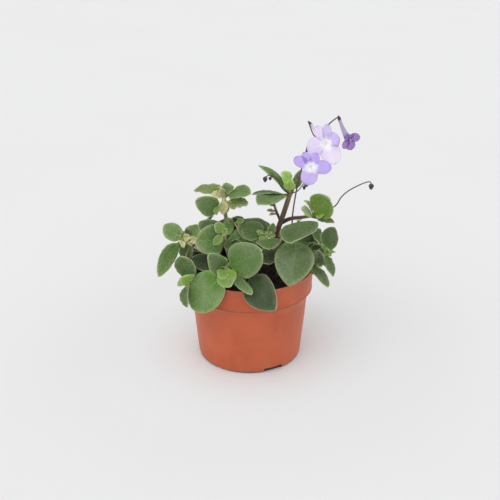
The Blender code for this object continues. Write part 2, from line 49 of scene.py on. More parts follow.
# Pot
POT_RIM_RADIUS = 60.0
POT_HEIGHT = 91.0
POT_WALL = 1.3
POT_FLOOR = 5.0  # thicker than the real floor, so that the notches have walls all round
LIP_ROUNDING = 0.6
BAND_FOOT_RADIUS = 59.2
BAND_FOOT_Z = 69.5
BAND_SIDE = ((59.98, 89.6), (59.75, 89.0), (59.7, 88.0), (59.6, 80), (59.35, 74), (59.3, 71.2), (59.5, 70.8),
             (59.55, 70.2))
STEP_RADIUS = 54.9
STEP_Z = 61.0
STEP_SIDE = ((57.4, 67.0), (56.2, 64.2), (55.35, 62.2), (54.95, 60.9), (54.7, 59.2), (54.45, 57))
WALL_SIDE = ((53.9, 50), (53.0, 40), (52.1, 30), (51.15, 20), (50.3, 11), (49.75, 6), (49.4, 3.6))
FOOT_RADIUS = 49.2
FOOT_ROUNDING = 2.5
UNDERSIDE = ((45.6, 0.0), (45.0, 0.5), (42, 0.6), (20, 0.6), (0.2, 0.6))
BAND_FOOT_BEND = ((58.7, 69.9), 0.85, 10, -55)  # centre, radius and the angles where it starts and ends
INSIDE_HEIGHTS = (6, 7, 20, 40, 60, STEP_Z, 65, BAND_FOOT_Z, 70, 80, 88, 90)
POT_STEPS = 192
SHARP_ANGLE = 50.0
NOTCH_HEADINGS = (-63.0, 57.0, 177.0)
NOTCH_SIZE = (6.4, 19.0, 8.8)  # the lower half of its height lies under the pot
NOTCH_ROUNDING = 0.6
DRAIN_HEADINGS = (0.0, 90.0, 180.0, 270.0)
DRAIN_RADIUS = 4.0
DRAIN_CIRCLE_RADIUS = 26.0
DRAIN_CUT_LENGTH = 14.0

# Potting soil
SOIL_EDGE_Z = 81.0
SOIL_CROWN = 2.0
SOIL_RINGS = 64
SOIL_STEPS = 220
SOIL_SIDE_HEIGHTS = (77, BAND_FOOT_Z, STEP_Z, 30, 7)
SOIL_ROUNDING = 1.5
SOIL_WAVES = ((9.0, 0.9), (4.0, 0.55), (1.7, 0.35))  # size and height of each
WAVES_OF_A_SIZE = 7
PEAT_LUMPS = 520
LUMP_SIZES = (0.5, 1.9)

# Leaves
LEAF_THICKNESS = 0.9
PETIOLE_THICKNESS = 1.7
PETIOLE_WIDTH = 2.0
PETIOLE_SHARE = 0.12  # of a leaf's length
TIP_WIDTH = 1.2
WIDEST_AT = 0.45  # share of the blade's length
ROUND_TIP_POWER = 0.5
POINTED_TIP_POWER = 0.95
LEAF_GRID = (44, 27)
SMALL_LEAF = 17.0  # leaves shorter than this get fewer points
SMALL_LEAF_GRID = (24, 15)
VEIN_GAP = 4.6
VEIN_SWEEP = 0.8
VEIN_WIDTH = 0.8
RIB_GROOVES = (0.35, 0.75)  # depth on the upper side and on the underside
VEIN_GROOVES = (0.10, 0.12)
EDGE_ROLL = 0.55
FOLD_SHARE = 0.5  # how much of the cup is a fold along the midrib
HAIR_GAP = 0.34
HAIR_LENGTH = 0.8
HAIR_RADIUS = 0.045
TUFT_LIFT = 0.8
TUFT_SHRINK = 0.62
TUFT_ROUNDNESS = 0.68
TUFT_CLIMB = 38.0
TUFT_STEEPENING = 18.0  # of each pair against the pair below it

# Stems and stalks
STEM_SPANS = 7
STEM_FOOT = 2.0
STEM_SIDES = 16
STEM_HAIRS = 22  # for each ring
NODE_SWELLING = 0.12  # where a leaf grows, as a share of the stem's radius
NODE_SHARE = 0.03  # of the stem's length
STALK_SPANS = 6
STALK_SIDES = 12
THINNING = 0.8
CAP_RINGS = ((0.15, 0.76), (0.65, 0.6))  # radius and reach, as shares of the radius of the tube they close
NEARLY_IN_LINE = 0.2

# Flowers
TUBE_BASE_RADIUS = 1.2
TUBE_SETBACK = 1.6  # from the tube's end to the flower's face
TUBE_RINGS = 26
TUBE_SIDES = 40
TUBE_FLARE = 1.5
TUBE_HANDLE = 0.45
FLUTES = 5
WHITE_THROAT = 8.0  # from the flower's face to the tube's tinted part
FUNNEL_RADIUS = 0.9
FUNNEL_LEAN = 30.0  # between the funnel's wall and the tube
FUNNEL_SHARE = 0.32  # of a lobe's length
FLAT_FACE = 88.0
TIP_CURL = 12.0
COROLLA_THICKNESS = 0.28
LOBE_GRID = (30, 21)
LOBE_ROUND_AT = 0.66
CALYX_RADIUS = 1.6
CALYX_LENGTH = 3.0
CALYX_GAP = 0.4
CALYX_OVERLAP = 0.3
SEPALS = 5
PISTIL_DROP = 1.2

# Camera, which stands where the photograph was taken
CAMERA_PLACE = (0.4, -729.4, 429.7)
CAMERA_PITCH = -24.0
CAMERA_LENS = 61.2
CAMERA_SENSOR = 36.0

# Studio, in metres and degrees
FLOOR_RADIUS = 7.0
COVE_RADIUS = 1.0
WALL_HEIGHT = 2.5
FLOOR_STEPS = 96
KEY_HEADING = -130.0
KEY_CLIMB = 52.0
KEY_SOFTNESS = 60.0
KEY_STRENGTH = 0.60
AIR_STRENGTH = 0.93
AIR_COLOUR = (0.98, 0.99, 1.0, 1.0)


class Leaf(NamedTuple):
    """One leaf: where it grows, where it points and which way its upper side looks."""

    at: float  # share of the stem's length
    heading: float
    climb: float
    length: float
    width: float
    face_heading: float
    face_climb: float
    light: float = 1.0  # painted light and shade, with a little of the leaf's own tone: paler above 1, darker below
    cup: float = 0.2  # rise of the edges, as a share of the half width
    arch: float = 0.06  # rise of the midrib's middle, as a share of the length
    bow: float = 0.0  # sideways curve of the midrib, as a share of the length
    point: float = 0.3  # 0 is a round tip, 1 a pointed one
    ruffle: float = 0.25  # waves of the margin
    tone: str = "green"


# greyer, darker leaves: the own colour of the greyer ones, and painted shade on the inner leaves
grey = partial(Leaf, tone="grey")
young = partial(Leaf, ruffle=0.5, tone="young")
downy = partial(Leaf, ruffle=0.6, tone="downy")
mottled = partial(Leaf, ruffle=0.6, tone="mottled")


class Flower(NamedTuple):
    """One flower: where its calyx and its throat are, which way it looks, and its lobes."""

    name: str
    calyx: tuple
    throat: tuple
    face_heading: float
    face_climb: float
    lobes: tuple  # angle round the face, reach from the throat, width and paleness of each lobe
    pedicel: tuple
    tone: str
    spread: float = 81.0  # angle between the lobes and the tube
    mouth: float = 1.7  # radius of the tube's wide end


class Stalk(NamedTuple):
    """One stalk of flowers or buds: its main run, its side run and the place and size of its buds."""

    name: str
    run: tuple
    radius: float
    side_run: tuple = ()
    buds: tuple = ()


# The run of each stem and its radius at the foot and at the tip. A foot without a height is on the soil.
STEMS = {
    "upper_left": ([(-14, 4), (-18, 6, 106), (-22, 8, 134), (-24, 9, 150), (-23, 10, 158)], 1.7, 1.7),
    "left": ([(-24, -8), (-32, -22, 105), (-42, -21, 111.5), (-52, -15, 115.5), (-62, -8, 118.5)], 1.1, 0.9),
    "lower_left": ([(-51, -15, 116.5), (-57, -21, 111), (-58, -31, 101), (-54, -40, 90)], 0.9, 0.9),
    "middle_left": ([(-10, -10), (-20, -9, 104), (-23, -11, 128)], 1.3, 1.0),
    "front": ([(-6, -24), (-13, -38, 97), (-21, -50, 110.5)], 1.8, 1.3),
    "front_low": ([(-8, -29, 88), (-4, -36, 93), (-2, -42, 99)], 1.4, 1.3),
    "middle": ([(6, -14), (11, -18, 106), (15, -21, 128)], 1.8, 1.3),
    "right_middle": ([(26, -12), (38, -20, 110), (44, -22, 143)], 1.8, 1.2),
    "tall": ([(14, 6), (20, 8, 104), (29, 8, 130), (35, 8, 150), (38, 8, 162)], 2.8, 2.2),
    "upper_right": ([(29, 8, 129), (38, 9, 133), (49, 10, 134), (61, 10, 136)], 2.0, 1.4),
    "right": ([(36, 2), (50, -4, 94), (64, -7, 99), (73, -7, 104)], 1.8, 1.3),
    "right_low": ([(48, -3.5, 93), (55, -12, 97), (63, -18, 97)], 1.4, 1.2),
    "back_left": ([(-12, 20), (-22, 30, 94), (-30, 36, 103)], 1.8, 1.3),
    "back_right": ([(16, 24), (26, 34, 93), (33, 40, 101)], 1.8, 1.3),
}

# The CAD nodes of the stems and the runs in each
PLANTLETS = {
    "stem_upper_left": ("upper_left",),
    "stems_left": ("left", "lower_left"),
    "stem_middle_left": ("middle_left",),
    "stems_front": ("front", "front_low"),
    "stem_middle": ("middle",),
    "stem_right_middle": ("right_middle",),
    "stems_tall": ("tall", "upper_right"),
    "stems_right": ("right", "right_low"),
    "stem_back_left": ("back_left",),
    "stem_back_right": ("back_right",),
}

BROWN_STEMS = ("stems_tall", "shoot_fork")

# The leaves that are CAD nodes, on their stems
LEAVES = (
    ("upper_left", {
        "upper_left_1": mottled(1, 146, -4, 31.5, 22, -89, 80, 1, 0.3, 0, 0.02, point=0),
        "upper_left_2": Leaf(0.84, -150, 21, 29, 19, -99, 20, 1.22, 0.2, 0.07, 0.07),
        "upper_left_3": Leaf(0.97, -26, 15, 25.5, 20.5, -68, 64, 1.12, 0.2, 0.02, 0.12),
        "upper_left_4": mottled(0.89, -25, 5, 23, 13, -123, 59, 1.5, 0.05, 0.01, 0.04, ruffle=0.9),
    }),
    ("left", {
        "left_1": Leaf(0.98, 160, 32, 22.5, 17.5, -73, 35, 1.5, 0.15, 0.05, 0.02),
        "left_2": Leaf(1, -127, -36, 40.5, 18, -58, 1, 1.6, 0.2, 0, -0.11, point=0.5),
        "left_3": Leaf(0.93, 47, 36, 19.5, 13, -74, 68, 1.3, 0.2, 0.06, 0.05),
    }),
    ("lower_left", {
        "lower_left_1": Leaf(0.95, -173, 74, 25.5, 21, -114, 6, 0.8, 0.05, 0.03, -0.06),
        "lower_left_2": Leaf(0.99, -89, -52, 22, 14.5, -152, 19, 0.9, 0.25, 0.08, -0.04),
    }),
    ("front", {
        "low_left": grey(0.45, 170, 19, 42, 24, -87, 71, 0.42, 0.25, 0.05, 0.03),
    }),
    ("middle_left", {
        "middle_left_1": Leaf(0.82, -135, 17, 36, 28, -86, 24, 1.5, 0.1, 0.16, -0.02, point=0),
        "middle_left_2": Leaf(0.85, 81, 42, 21, 10.5, -95, 11, 1.4, 0.2, 0.03, -0.05),
        "middle_left_3": Leaf(0.68, -176, 49, 33.5, 20.5, -72, 28, 1, 0.15, 0.05, -0.08),
    }),
    ("front", {
        "front_1": Leaf(1, -19, 31, 37, 32, -80, 26, 1.05, 0.05, 0.15, point=0.1),
        "front_2": Leaf(0.88, -141, 45, 27, 17.5, -93, 32, 0.95, 0.3, 0.12, 0.1),
        "front_3": young(1, -82, -22, 21.5, 18.5, -111, 40, 1.1, 0.05, 0.1, ruffle=0.6),
        "front_4": Leaf(0.86, 179, -48, 49.5, 35, -101, 40, 1.6, 0.05, 0.11, 0.03, point=0.1),
    }),
    ("front_low", {
        "front_5": grey(0.97, -59, -16, 47, 29, -105, 27, 0.68, 0.1, 0.16, 0.02, point=0.6),
    }),
    ("front", {
        "front_6": Leaf(0.84, -51, -18, 33, 11, -79, 70, 1.35, 0.15, -0.03, -0.02),
    }),
    ("middle", {
        "middle_1": Leaf(0.9, 140, 24, 25, 21.5, -67, 41, 0.78, 0.15, 0.05, 0.06),
        "middle_2": Leaf(0.97, -83, 0, 24, 21.5, -89, 62, 0.95, 0.15, 0.05, 0.02),
        "middle_3": Leaf(0.84, 140, 31, 30, 30.5, -93, 72, 0.7, 0.05, 0.01, -0.08),
        "middle_4": Leaf(0.6, 164, 38, 31, 13, -140, 30),
        "middle_5": grey(0.72, -76, -16, 21, 22, -80, 60, 0.8),
    }),
    ("right_middle", {
        "right_middle_1": Leaf(1, -100, -6, 37, 34, -120, 50, 0.72, 0.05, 0.1, 0.12, point=0.05),
        "right_middle_2": grey(0.79, -103, -48, 47.5, 35, -96, 16, 2, 0.35, 0.04, 0.04, point=0.8),
        "right_middle_3": Leaf(0.88, -30, -23, 22.5, 21, -17, 42, 0.6, 0.45, 0.12, 0.15, ruffle=0.9),
    }),
    ("tall", {
        "tall_1": Leaf(0.97, -165, 46, 38.5, 9, -81, 55, 1.3, 0.6, 0.04, -0.03, point=0.8),
        "tall_2": young(1, 19, 107, 18, 20, -27, 13, 2.3, 0.35, 0.01, -0.05, ruffle=0.25),
        "tall_3": Leaf(0.95, -134, 1, 39.5, 24.5, -87, 86, 1.15, 0.15, 0.03, -0.06, point=0.5),
        "tall_4": grey(0.93, -173, 4, 32, 20, -89, 103, 1, 0.15, 0.05),
    }),
    ("upper_right", {
        "upper_right_1": young(0.96, -41, 45, 26.5, 26.5, -101, 19, 1.1, 0.1, 0.03, 0.03, point=0.05,
                               ruffle=0.1),
        "upper_right_2": grey(0.93, -142, 34, 16, 12, -56, 54, 3.4, 0.1, 0.04, 0.02),
    }),
    ("right", {
        "right_1": Leaf(0.97, 63, 41, 27.5, 19, -76, 3, 0.72, 0.05, 0.03, 0.06),
        "right_2": Leaf(0.97, -79, -28, 23.5, 11, -49, 43, 0.8, 0.2, 0.08, -0.09),
    }),
    ("right_low", {
        "right_3": Leaf(0.95, -71, -12, 30.5, 13, -59, 47, 0.9, 0.25, 0.12, -0.13),
    }),
    ("back_left", {
        "back_left_1": Leaf(0.97, 165, 4, 34, 32, 110, 65),
        "back_left_2": Leaf(0.9, 60, -8, 34, 33, 90, 60),
    }),
    ("back_right", {
        "back_right_1": Leaf(0.97, 5, 8, 34, 32, 60, 65),
        "back_right_2": Leaf(0.93, 112, -8, 36, 34, 95, 60),
        "back_right_3": grey(0.7, 50, -6, 36, 34, 60, 55),
    }),
)

# Shoots that the looks add behind and inside, in the way of STEMS
SIDE_SHOOTS = {
    "fork": ([(29, 8, 131), (26.5, 7.5, 137), (24, 7, 144), (22, 7, 151)], 1.3, 0.9),
    "back_middle": ([(2, 34), (1, 44, 92), (-2, 52, 101)], 1.6, 1.2),
    "back_far_left": ([(-30, 22), (-40, 30, 92), (-50, 34, 98)], 1.6, 1.2),
    "back_far_right": ([(32, 26), (42, 32, 92), (50, 34, 99)], 1.6, 1.2),
    "inner_left": ([(-24, 8), (-30, 10, 98), (-38, 8, 114)], 1.5, 1.1),
    "inner_middle": ([(2, 10), (-2, 10, 100), (-6, 8, 122)], 1.5, 1.1),
    "inner_right": ([(38, 6), (46, 0, 98), (57, -6, 118)], 1.5, 1.1),
    "middle_thin": ([(0, -8), (-1, -9, 106), (-8, -7, 122), (-13.5, -4, 134)], 0.9, 0.6),
    "middle_left_tip": ([(-23, -11, 126.5), (-22.5, -18, 130.5), (-22.5, -26.5, 133)], 1.0, 0.8),
}

# Young, small and hidden leaves that the looks add. The order of the rows sets their random draws.
MORE_LEAVES = (
    ("upper_left", (
        grey(1, 91, 81, 10.5, 14, -59, 3, 2.4, 0.5, 0.04, 0.02, ruffle=0.6),
        downy(0.98, -105, 43, 14, 7.5, -86, 34, 1.2, 0.5, -0.01, 0.04),
        downy(0.94, 49, 32, 10.5, 3.5, -107, 40, 1.2, 0.6, 0.04),
        young(0.89, -109, -22, 16.5, 10, -136, 29, 1, 0.5, 0.08, -0.08),
        young(0.71, 100, 50, 15, 9, -89, 20, 1, 0.5, 0.05, ruffle=0.25),
        grey(0.58, 15, 28, 14, 9, -80, 30, 1, 0.4),
    )),
    ("left", (
        young(1, 149, 20, 11, 13.5, -61, 15, 1.2, 0.5, 0.09, 0.03),
        downy(1, -27, 25, 8.5, 7.5, -82, 24, 1.15, 0.5, 0.04, -0.03),
        downy(1, -77, -7, 13, 5.5, -70, 41, 1.1, 0.6, ruffle=0.5),
        downy(0.88, -16, 32, 8.5, 7.5, -86, 32, 1.15, 0.55, 0.05, ruffle=0.5),
        grey(0.89, 89, 40, 17, 10.5, -77, 60, 0.7),
    )),
    ("lower_left", (
        young(1, -119, 39, 17, 13.5, -81, 12, 1.3, 0.3, 0.08, -0.16),
        young(1, -24, 147, 8.5, 15, 166, -2, 1.5, 0.7, 0.1, 0.05),
    )),
    ("middle_left_tip", (
        young(1, -173, 52, 11.5, 10.5, -71, 32, 1, 0.3, 0.06, 0.06, ruffle=0.4),
        young(1, -153, -39, 13, 8, -84, 25, 1, 0.25, 0.03, ruffle=0.4),
    )),
    ("middle_left", (
        Leaf(0.62, -38, 24, 19.5, 15.5, -88, 35, 0.7, 0.25),
        Leaf(0.83, -9, 22, 14, 11, -89, 67, 1, 0.2, -0.03, 0.08),
    )),
    ("front", (
        young(1, -105, -16, 13.5, 12, -95, 48, 1.15, 0.5),
        young(1, 120, 50, 8, 6, -70, 20, 1, 0.8),
    )),
    ("middle", (
        Leaf(1, 39, 53, 12.5, 8.5, -56, 16, 1, 0.4),
        young(1, 170, 35, 8, 4.5, -90, 30, 1, 0.6, ruffle=0.4),
        young(1, -20, 20, 7, 4.5, -90, 40, 1, 0.6, ruffle=0.4),
        young(1, -130, -10, 8, 5, -90, 50, 1, 0.6, ruffle=0.4),
    )),
    ("right_middle", (
        Leaf(0.62, 8, 34, 24, 13, -90, 40, 0.7, 0.4),
        Leaf(0.7, -8, 10, 22, 12, -70, 50, 1, 0.6, ruffle=0.6),
    )),
    ("tall", (
        mottled(0.98, 23, 67, 21, 9.5, -85, 8, 1.1, 0.55, 0.04, ruffle=0.25),
        young(1, -85, 66, 14.5, 9.5, -88, 22, 1.9, 0.7),
    )),
    ("fork", (
        downy(0.55, 178, 8, 7, 3.5, -90, 50, 0.7, 0.5, ruffle=0.25),
        downy(0.4, 170, -8, 6, 3, -90, 50, 0.7, 0.5, ruffle=0.25),
        grey(0.85, -150, 30, 8, 4, -90, 50, 1.4, 0.5),
    )),
    ("upper_right", (
        young(1, -28, 30, 13, 14.5, -95, 42, 1.5, 0.55, ruffle=0.4),
        grey(0.95, 174, 58, 15, 13.5, -8, 11, 2.8, 0.35, 0.06, -0.04),
        grey(1, -19, -6, 18.5, 10, -89, 74, 1.2, 0.3, 0.01),
    )),
    ("right", (
        young(1, -107, 47, 11.5, 5.5, -95, 19, 1, 0.6, 0.05, 0.02),
        young(0.96, -179, 68, 11, 5, -83, 75, 1, 0.55, 0.04, 0.02),
        Leaf(0.8, 150, 55, 13, 8, -80, 30, 1, 0.5),
    )),
    ("right_low", (
        grey(1, 83, 113, 19, 11.5, -86, 12, 1.3, 0.35, 0.1, point=0.05),
        Leaf(0.6, 20, 40, 16, 11, -80, 40, 1, 0.4),
    )),
    ("right", (
        grey(0.55, 60, 60, 18, 12, -90, 20, 1, 0.3),
        Leaf(0.7, -60, 30, 13, 9, -70, 50, 1, 0.4, ruffle=0.5),
    )),
    ("right_low", (
        Leaf(0.96, 118, -41, 15.5, 8, -82, 36, 1, 0.4, 0.01),
    )),
    ("back_middle", (
        Leaf(0.97, 95, 5, 32, 30, 90, 65),
        Leaf(0.9, -5, 8, 28, 26, 70, 70),
        grey(0.9, -175, 8, 30, 27, 110, 65),
        Leaf(0.7, 60, -12, 30, 28, 80, 45),
    )),
    ("back_far_left", (
        Leaf(0.97, 140, 5, 31, 29, 130, 65),
        grey(0.88, -150, 6, 27, 22, -140, 70),
        Leaf(0.8, 75, 0, 30, 27, 100, 60),
    )),
    ("back_far_right", (
        Leaf(0.97, 40, 5, 30, 28, 50, 65),
        Leaf(0.9, -20, 8, 27, 22, -10, 70),
        grey(0.8, 100, 0, 30, 27, 80, 60),
    )),
    ("inner_left", (
        grey(0.96, 175, 5, 26, 20, -100, 62),
        Leaf(0.9, -10, 10, 22, 18, -90, 60),
        grey(0.6, 150, 0, 28, 22, -110, 65, 0.35),
    )),
    ("inner_middle", (
        grey(0.97, 170, 5, 26, 22, -90, 55),
        Leaf(0.92, 0, 8, 26, 22, -90, 60),
        grey(0.7, -90, -5, 22, 20, -90, 60),
        Leaf(0.62, 80, 10, 24, 20, 80, 70),
    )),
    ("inner_right", (
        grey(0.6, 120, 15, 22, 18, 100, 60),
        grey(0.5, 30, 5, 18, 14, 60, 60),
    )),
    ("inner_left", (
        grey(0.63, 167, -8, 27, 15.5, -91, 41, 0.35, 0.25, 0.07, 0.1),
        grey(1, 68, 70, 20, 17.5, -169, 0, 0.8, 0.55, 0.2, 0.05),
    )),
    ("inner_middle", (
        grey(1, 156, 51, 14.5, 17, -5, 9, 0.8, 0.55, 0.16, -0.04),
        young(1, 127, 44, 12, 5.5, -131, 9, 0.7, ruffle=0.25),
    )),
    ("inner_right", (
        Leaf(1, 62, 22, 15.5, 8.5, -93, 21, 0.55, 0.5, 0.11, -0.03, ruffle=0.6),
        Leaf(0.96, 25, -5, 12, 9, -97, 48, 0.7, 0.35, 0.03, -0.05, ruffle=0.6),
        Leaf(0.91, -75, 38, 18, 9, -89, 29, 0.65, 0.35, 0.01, 0.02, ruffle=0.6),
        Leaf(0.91, -40, 10, 12.5, 8, -63, 0, 0.8, 0.55, 0.07, -0.05, ruffle=0.6),
    )),
    ("upper_left", (
        downy(0.93, -95, -58, 14, 9, -92, 4, 1.3, 0.5),
        downy(0.9, -30, -30, 11, 6, -90, 30, 1.25, 0.55),
        downy(0.97, -150, 10, 12, 8, -95, 40, 1.3, 0.5),
    )),
    ("left", (
        Leaf(0.93, -72, -38, 16, 14, -95, 12, 0.6, 0.3),
    )),
    ("inner_right", (
        Leaf(0.93, 62, 48, 11, 8, -100, 20, 0.9, 0.5, ruffle=0.6),
        grey(0.98, -150, 40, 10, 7, -95, 35, 1.1, 0.55, ruffle=0.6),
    )),
    ("middle_thin", (
        young(1, -15, 20, 8, 5.5, -85, 40, 0.7, 0.5, ruffle=0.6),
        mottled(1, 165, 35, 6, 4.5, -85, 40, 0.6, 0.5),
        Leaf(0.6, -154, 6, 20, 14, -92, 35, 0.85),
    )),
    ("right", (
        young(0.99, -105, -30, 12.5, 10, -95, 25, 0.7, 0.4, ruffle=0.6),
        young(0.98, 150, 20, 9, 8, -90, 30, 0.8, 0.4, ruffle=0.6),
        young(1, 38, 6, 4, 6.5, -86, 4, 1, 0.35, 0.03),
    )),
)

# Tufts of young leaves at stem tips: turn round the tip, length of the outer leaves and number of pairs
TUFTS = {
    "upper_left": (30, 9, 3),
    "left": (60, 8, 3),
    "lower_left": (0, 6, 2),
    "middle_left_tip": (80, 5, 2),
    "front": (40, 5, 2),
    "front_low": (40, 5, 2),
    "middle": (20, 6, 3),
    "right_middle": (10, 3, 1),
    "tall": (70, 8, 3),
    "upper_right": (40, 8, 2),
    "right": (30, 7, 3),
    "right_low": (70, 6, 2),
    "back_left": (20, 8, 3),
    "back_right": (50, 8, 3),
    "back_middle": (50, 8, 2),
    "back_far_left": (20, 8, 2),
    "back_far_right": (80, 8, 2),
    "inner_left": (10, 7, 2),
    "inner_middle": (60, 7, 2),
    "inner_right": (30, 7, 2),
}

FLOWERS = (
    Flower(
        "corolla_front", (55, 9, 204), (54.2, -15, 192.2), -90, 14,
        ((-4, 17.6, 12.0, 0.0), (66, 12.6, 8.4, 0.15), (119, 14.0, 7.2, 0.2), (155, 16.4, 10.0, 0.0),
         (260, 16.4, 15.0, 0.35)),
        ((50, 2, 197), (52, 7, 204)), "petal_lilac",
    ),
    Flower(
        "corolla_back", (55, 20, 221), (69, 0, 209.2), -84, 10,
        ((22, 11.6, 15.5, 0.4), (91, 16.6, 7.8, 0.6), (124, 17.8, 9.3, 0.75), (195, 18.8, 16.0, 0.75),
         (291, 20.0, 18.0, 1.0)),
        ((58, 5, 210), (61, 8, 211.4), (57.9, 12, 212.8), (55.6, 17, 217)), "petal_lilac",
    ),
    Flower(
        "corolla_side", (79, 1, 231), (88.4, -3, 213.0), -66, -14,
        ((18, 9.8, 9.8, 0.0), (88, 7.0, 7.0, 0.0), (152, 7.0, 6.0, 0.25), (226, 9.6, 8.0, 0.3),
         (286, 10.0, 9.5, 0.1)),
        ((69, 3, 224.2), (74, 3, 229)), "petal_violet", 64.0, 3.7,
    ),
)

STALKS = (
    Stalk(
        "flower_stalk",
        ((40, -20.2, 122), (38.6, -15.5, 138), (39.5, -13, 151), (42, -10, 167), (45, -8, 180),
         (50, 2, 197), (58, 5, 210), (69, 3, 224.2), (74, 3, 229)),
        0.7,
    ),
    Stalk(
        "bud_stalk_right",
        ((61.5, 12.2, 136.5), (79, 14, 143), (85, 12, 153), (91, 8, 161), (102, 4, 169), (109, 2, 172),
         (110.8, 0.6, 170)),
        0.6, buds=(((110.5, 0, 168), 5.6, 4.2),),
    ),
    Stalk(
        "bud_stalk_left",
        ((35.8, 5, 160), (31.6, 1, 164), (28, -2, 169.5), (26, -3, 174.5), (23, -4, 178.5), (18, -5.4, 181),
         (14.2, -6, 179)),
        0.6, side_run=((22.6, -4.1, 179), (20, -4.8, 179.4), (18.6, -5, 178.2)),
        buds=(((14, -6, 177), 5.0, 3.6), ((18.5, -5, 177.4), 3.0, 2.4)),
    ),
    Stalk(
        "bud_stalk_middle",
        ((39.3, 6, 159.5), (44, 0, 164), (47, -4, 169.5), (49.4, -6, 174), (51, -7, 175), (51.4, -7, 173.6)),
        0.5, side_run=((49.6, -6.2, 174.3), (49.6, -6.6, 172.8), (49.4, -6.8, 170.8)),
        buds=(((51.4, -7, 172.4), 4.2, 2.8), ((49.2, -6.8, 169.4), 3.8, 2.4)),
    ),
)

RUNS = {**STEMS, **SIDE_SHOOTS}


def math_node(operation, reflected=False):
    """An operator that adds a Math node to the finish of the value that it is used on."""

    def operator(self, other):
        return self.finish.maths(operation, *((other, self) if reflected else (self, other)))

    return operator


class Value:
    """A number, vector or colour in a finish's node tree. Operators on numbers add Math nodes."""

    def __init__(self, finish, socket):
        self.finish = finish
        self.socket = socket

    def __abs__(self):
        return self.finish.maths("ABSOLUTE", self)

    __add__ = __radd__ = math_node("ADD")
    __sub__ = math_node("SUBTRACT")
    __rsub__ = math_node("SUBTRACT", reflected=True)
    __mul__ = __rmul__ = math_node("MULTIPLY")
    __truediv__ = math_node("DIVIDE")
    __pow__ = math_node("POWER")


class Finish:
    """One procedural material. Sizes given to its patterns are in millimetres."""

    def __init__(self, name):
        self.material = bpy.data.materials.new(f"{name}_finish")
        self.material.use_nodes = True
        self.tree = self.material.node_tree
        self.tree.nodes.clear()

    def node(self, kind, settings=None, sockets=None, output=0):
        """Adds a node, sets it, and then gives its sockets their values or links."""
        made = self.tree.nodes.new(kind)
        for name, value in (settings or {}).items():
            setattr(made, name, value)
        for name, value in (sockets or {}).items():
            if isinstance(value, Value):
                self.tree.links.new(value.socket, made.inputs[name])
            elif made.inputs[name].type == "RGBA":
                made.inputs[name].default_value = (*value, 1.0)
            else:
                made.inputs[name].default_value = value
        return Value(self, made.outputs[output]) if made.outputs else made

    def maths(self, operation, *values):
        return self.node("ShaderNodeMath", {"operation": operation}, dict(enumerate(values)))

    def place(self):
        return self.node("ShaderNodeTexCoord", output="Object")

    def mark(self, name):
        """The three numbers of an attribute that the mesh holds."""
        return self.split(self.node("ShaderNodeAttribute", {"attribute_name": name}, output="Vector"))

    def split(self, vector):
        first = self.node("ShaderNodeSeparateXYZ", sockets={0: vector})
        return [Value(self, socket) for socket in first.socket.node.outputs]

    def join(self, x, y, z):
        return self.node("ShaderNodeCombineXYZ", sockets={0: x, 1: y, 2: z})

    def noise(self, vector, size, detail=3.0, roughness=0.5):
        sockets = {"Vector": vector, "Scale": 1 / (size * MM), "Detail": detail, "Roughness": roughness}
        return self.node("ShaderNodeTexNoise", sockets=sockets)

    def cells(self, vector, size, feature="DISTANCE_TO_EDGE"):
        sockets = {"Vector": vector, "Scale": 1 / (size * MM)}
        return self.node("ShaderNodeTexVoronoi", {"feature": feature}, sockets)

    def step(self, value, low, high, scale=1.0):
        """0 at low, 1 at high and a soft step between them. MM as the scale reads both as millimetres."""
        sockets = {"Value": value, "From Min": low * scale, "From Max": high * scale}
        return self.node("ShaderNodeMapRange", {"interpolation_type": "SMOOTHSTEP"}, sockets)

    def mix(self, factor, first, second, blend="MIX"):
        settings = {"data_type": "RGBA", "blend_type": blend}
        return self.node("ShaderNodeMix", settings, {0: factor, 6: first, 7: second}, 2)

    def layers(self, colour, *covers):
        """A colour under others, each of which covers what is below it where its mask is 1."""
        for mask, cover in covers:
            colour = self.mix(mask, colour, cover)
        return colour

    def bump(self, height, depth, normal=None):
        """A bump whose height of 1 stands for a depth in millimetres."""
        sockets = {"Height": height, "Distance": depth * MM}
        if normal is not None:
            sockets["Normal"] = normal
        return self.node("ShaderNodeBump", sockets=sockets)

    def finish(self, **sockets):
        """The closing shader. An underscore in a name here stands for a space in the socket's."""
        named = {name.replace("_", " "): value for name, value in sockets.items()}
        shader = self.node("ShaderNodeBsdfPrincipled", sockets=named)
        self.node("ShaderNodeOutputMaterial", sockets={"Surface": shader})
        return self.material


POT_DEEP = (0.50, 0.094, 0.032)
POT_LIGHT = (0.59, 0.123, 0.045)
POT_DUST = (0.60, 0.36, 0.26)
# brown of the specks, also used as painted shade under the band
SPECK_AND_SHADE_BROWN = (0.20, 0.07, 0.04)
# painted shade, for the pot's shaded inside, notches and foot
PAINTED_SHADE_BROWN = (0.070, 0.030, 0.018)
PEAT_DARK = (0.010, 0.008, 0.006)
PEAT_BROWN = (0.040, 0.026, 0.017)
PEAT_FIBRE = (0.10, 0.065, 0.04)
HAIR_PALE = (0.62, 0.58, 0.44)
VEIN_DARK = (0.030, 0.060, 0.014)
PISTIL_WHITE = (0.92, 0.88, 0.90)
PISTIL_CREAM = (0.85, 0.84, 0.70)
# painted glow of the pistil
PISTIL_PAINTED_GLOW = 0.3
PETAL_PAINTED_GLOW = 0.13  # painted glow, in place of daylight shining through the thin petals
FLOOR_WARM = (0.80, 0.79, 0.785)
FLOOR_COOL = (0.82, 0.82, 0.825)
FLOOR_PAINTED_COOL = (0.86, 0.895, 0.90)  # painted cool tint that cancels the pot's red bounce light on the floor
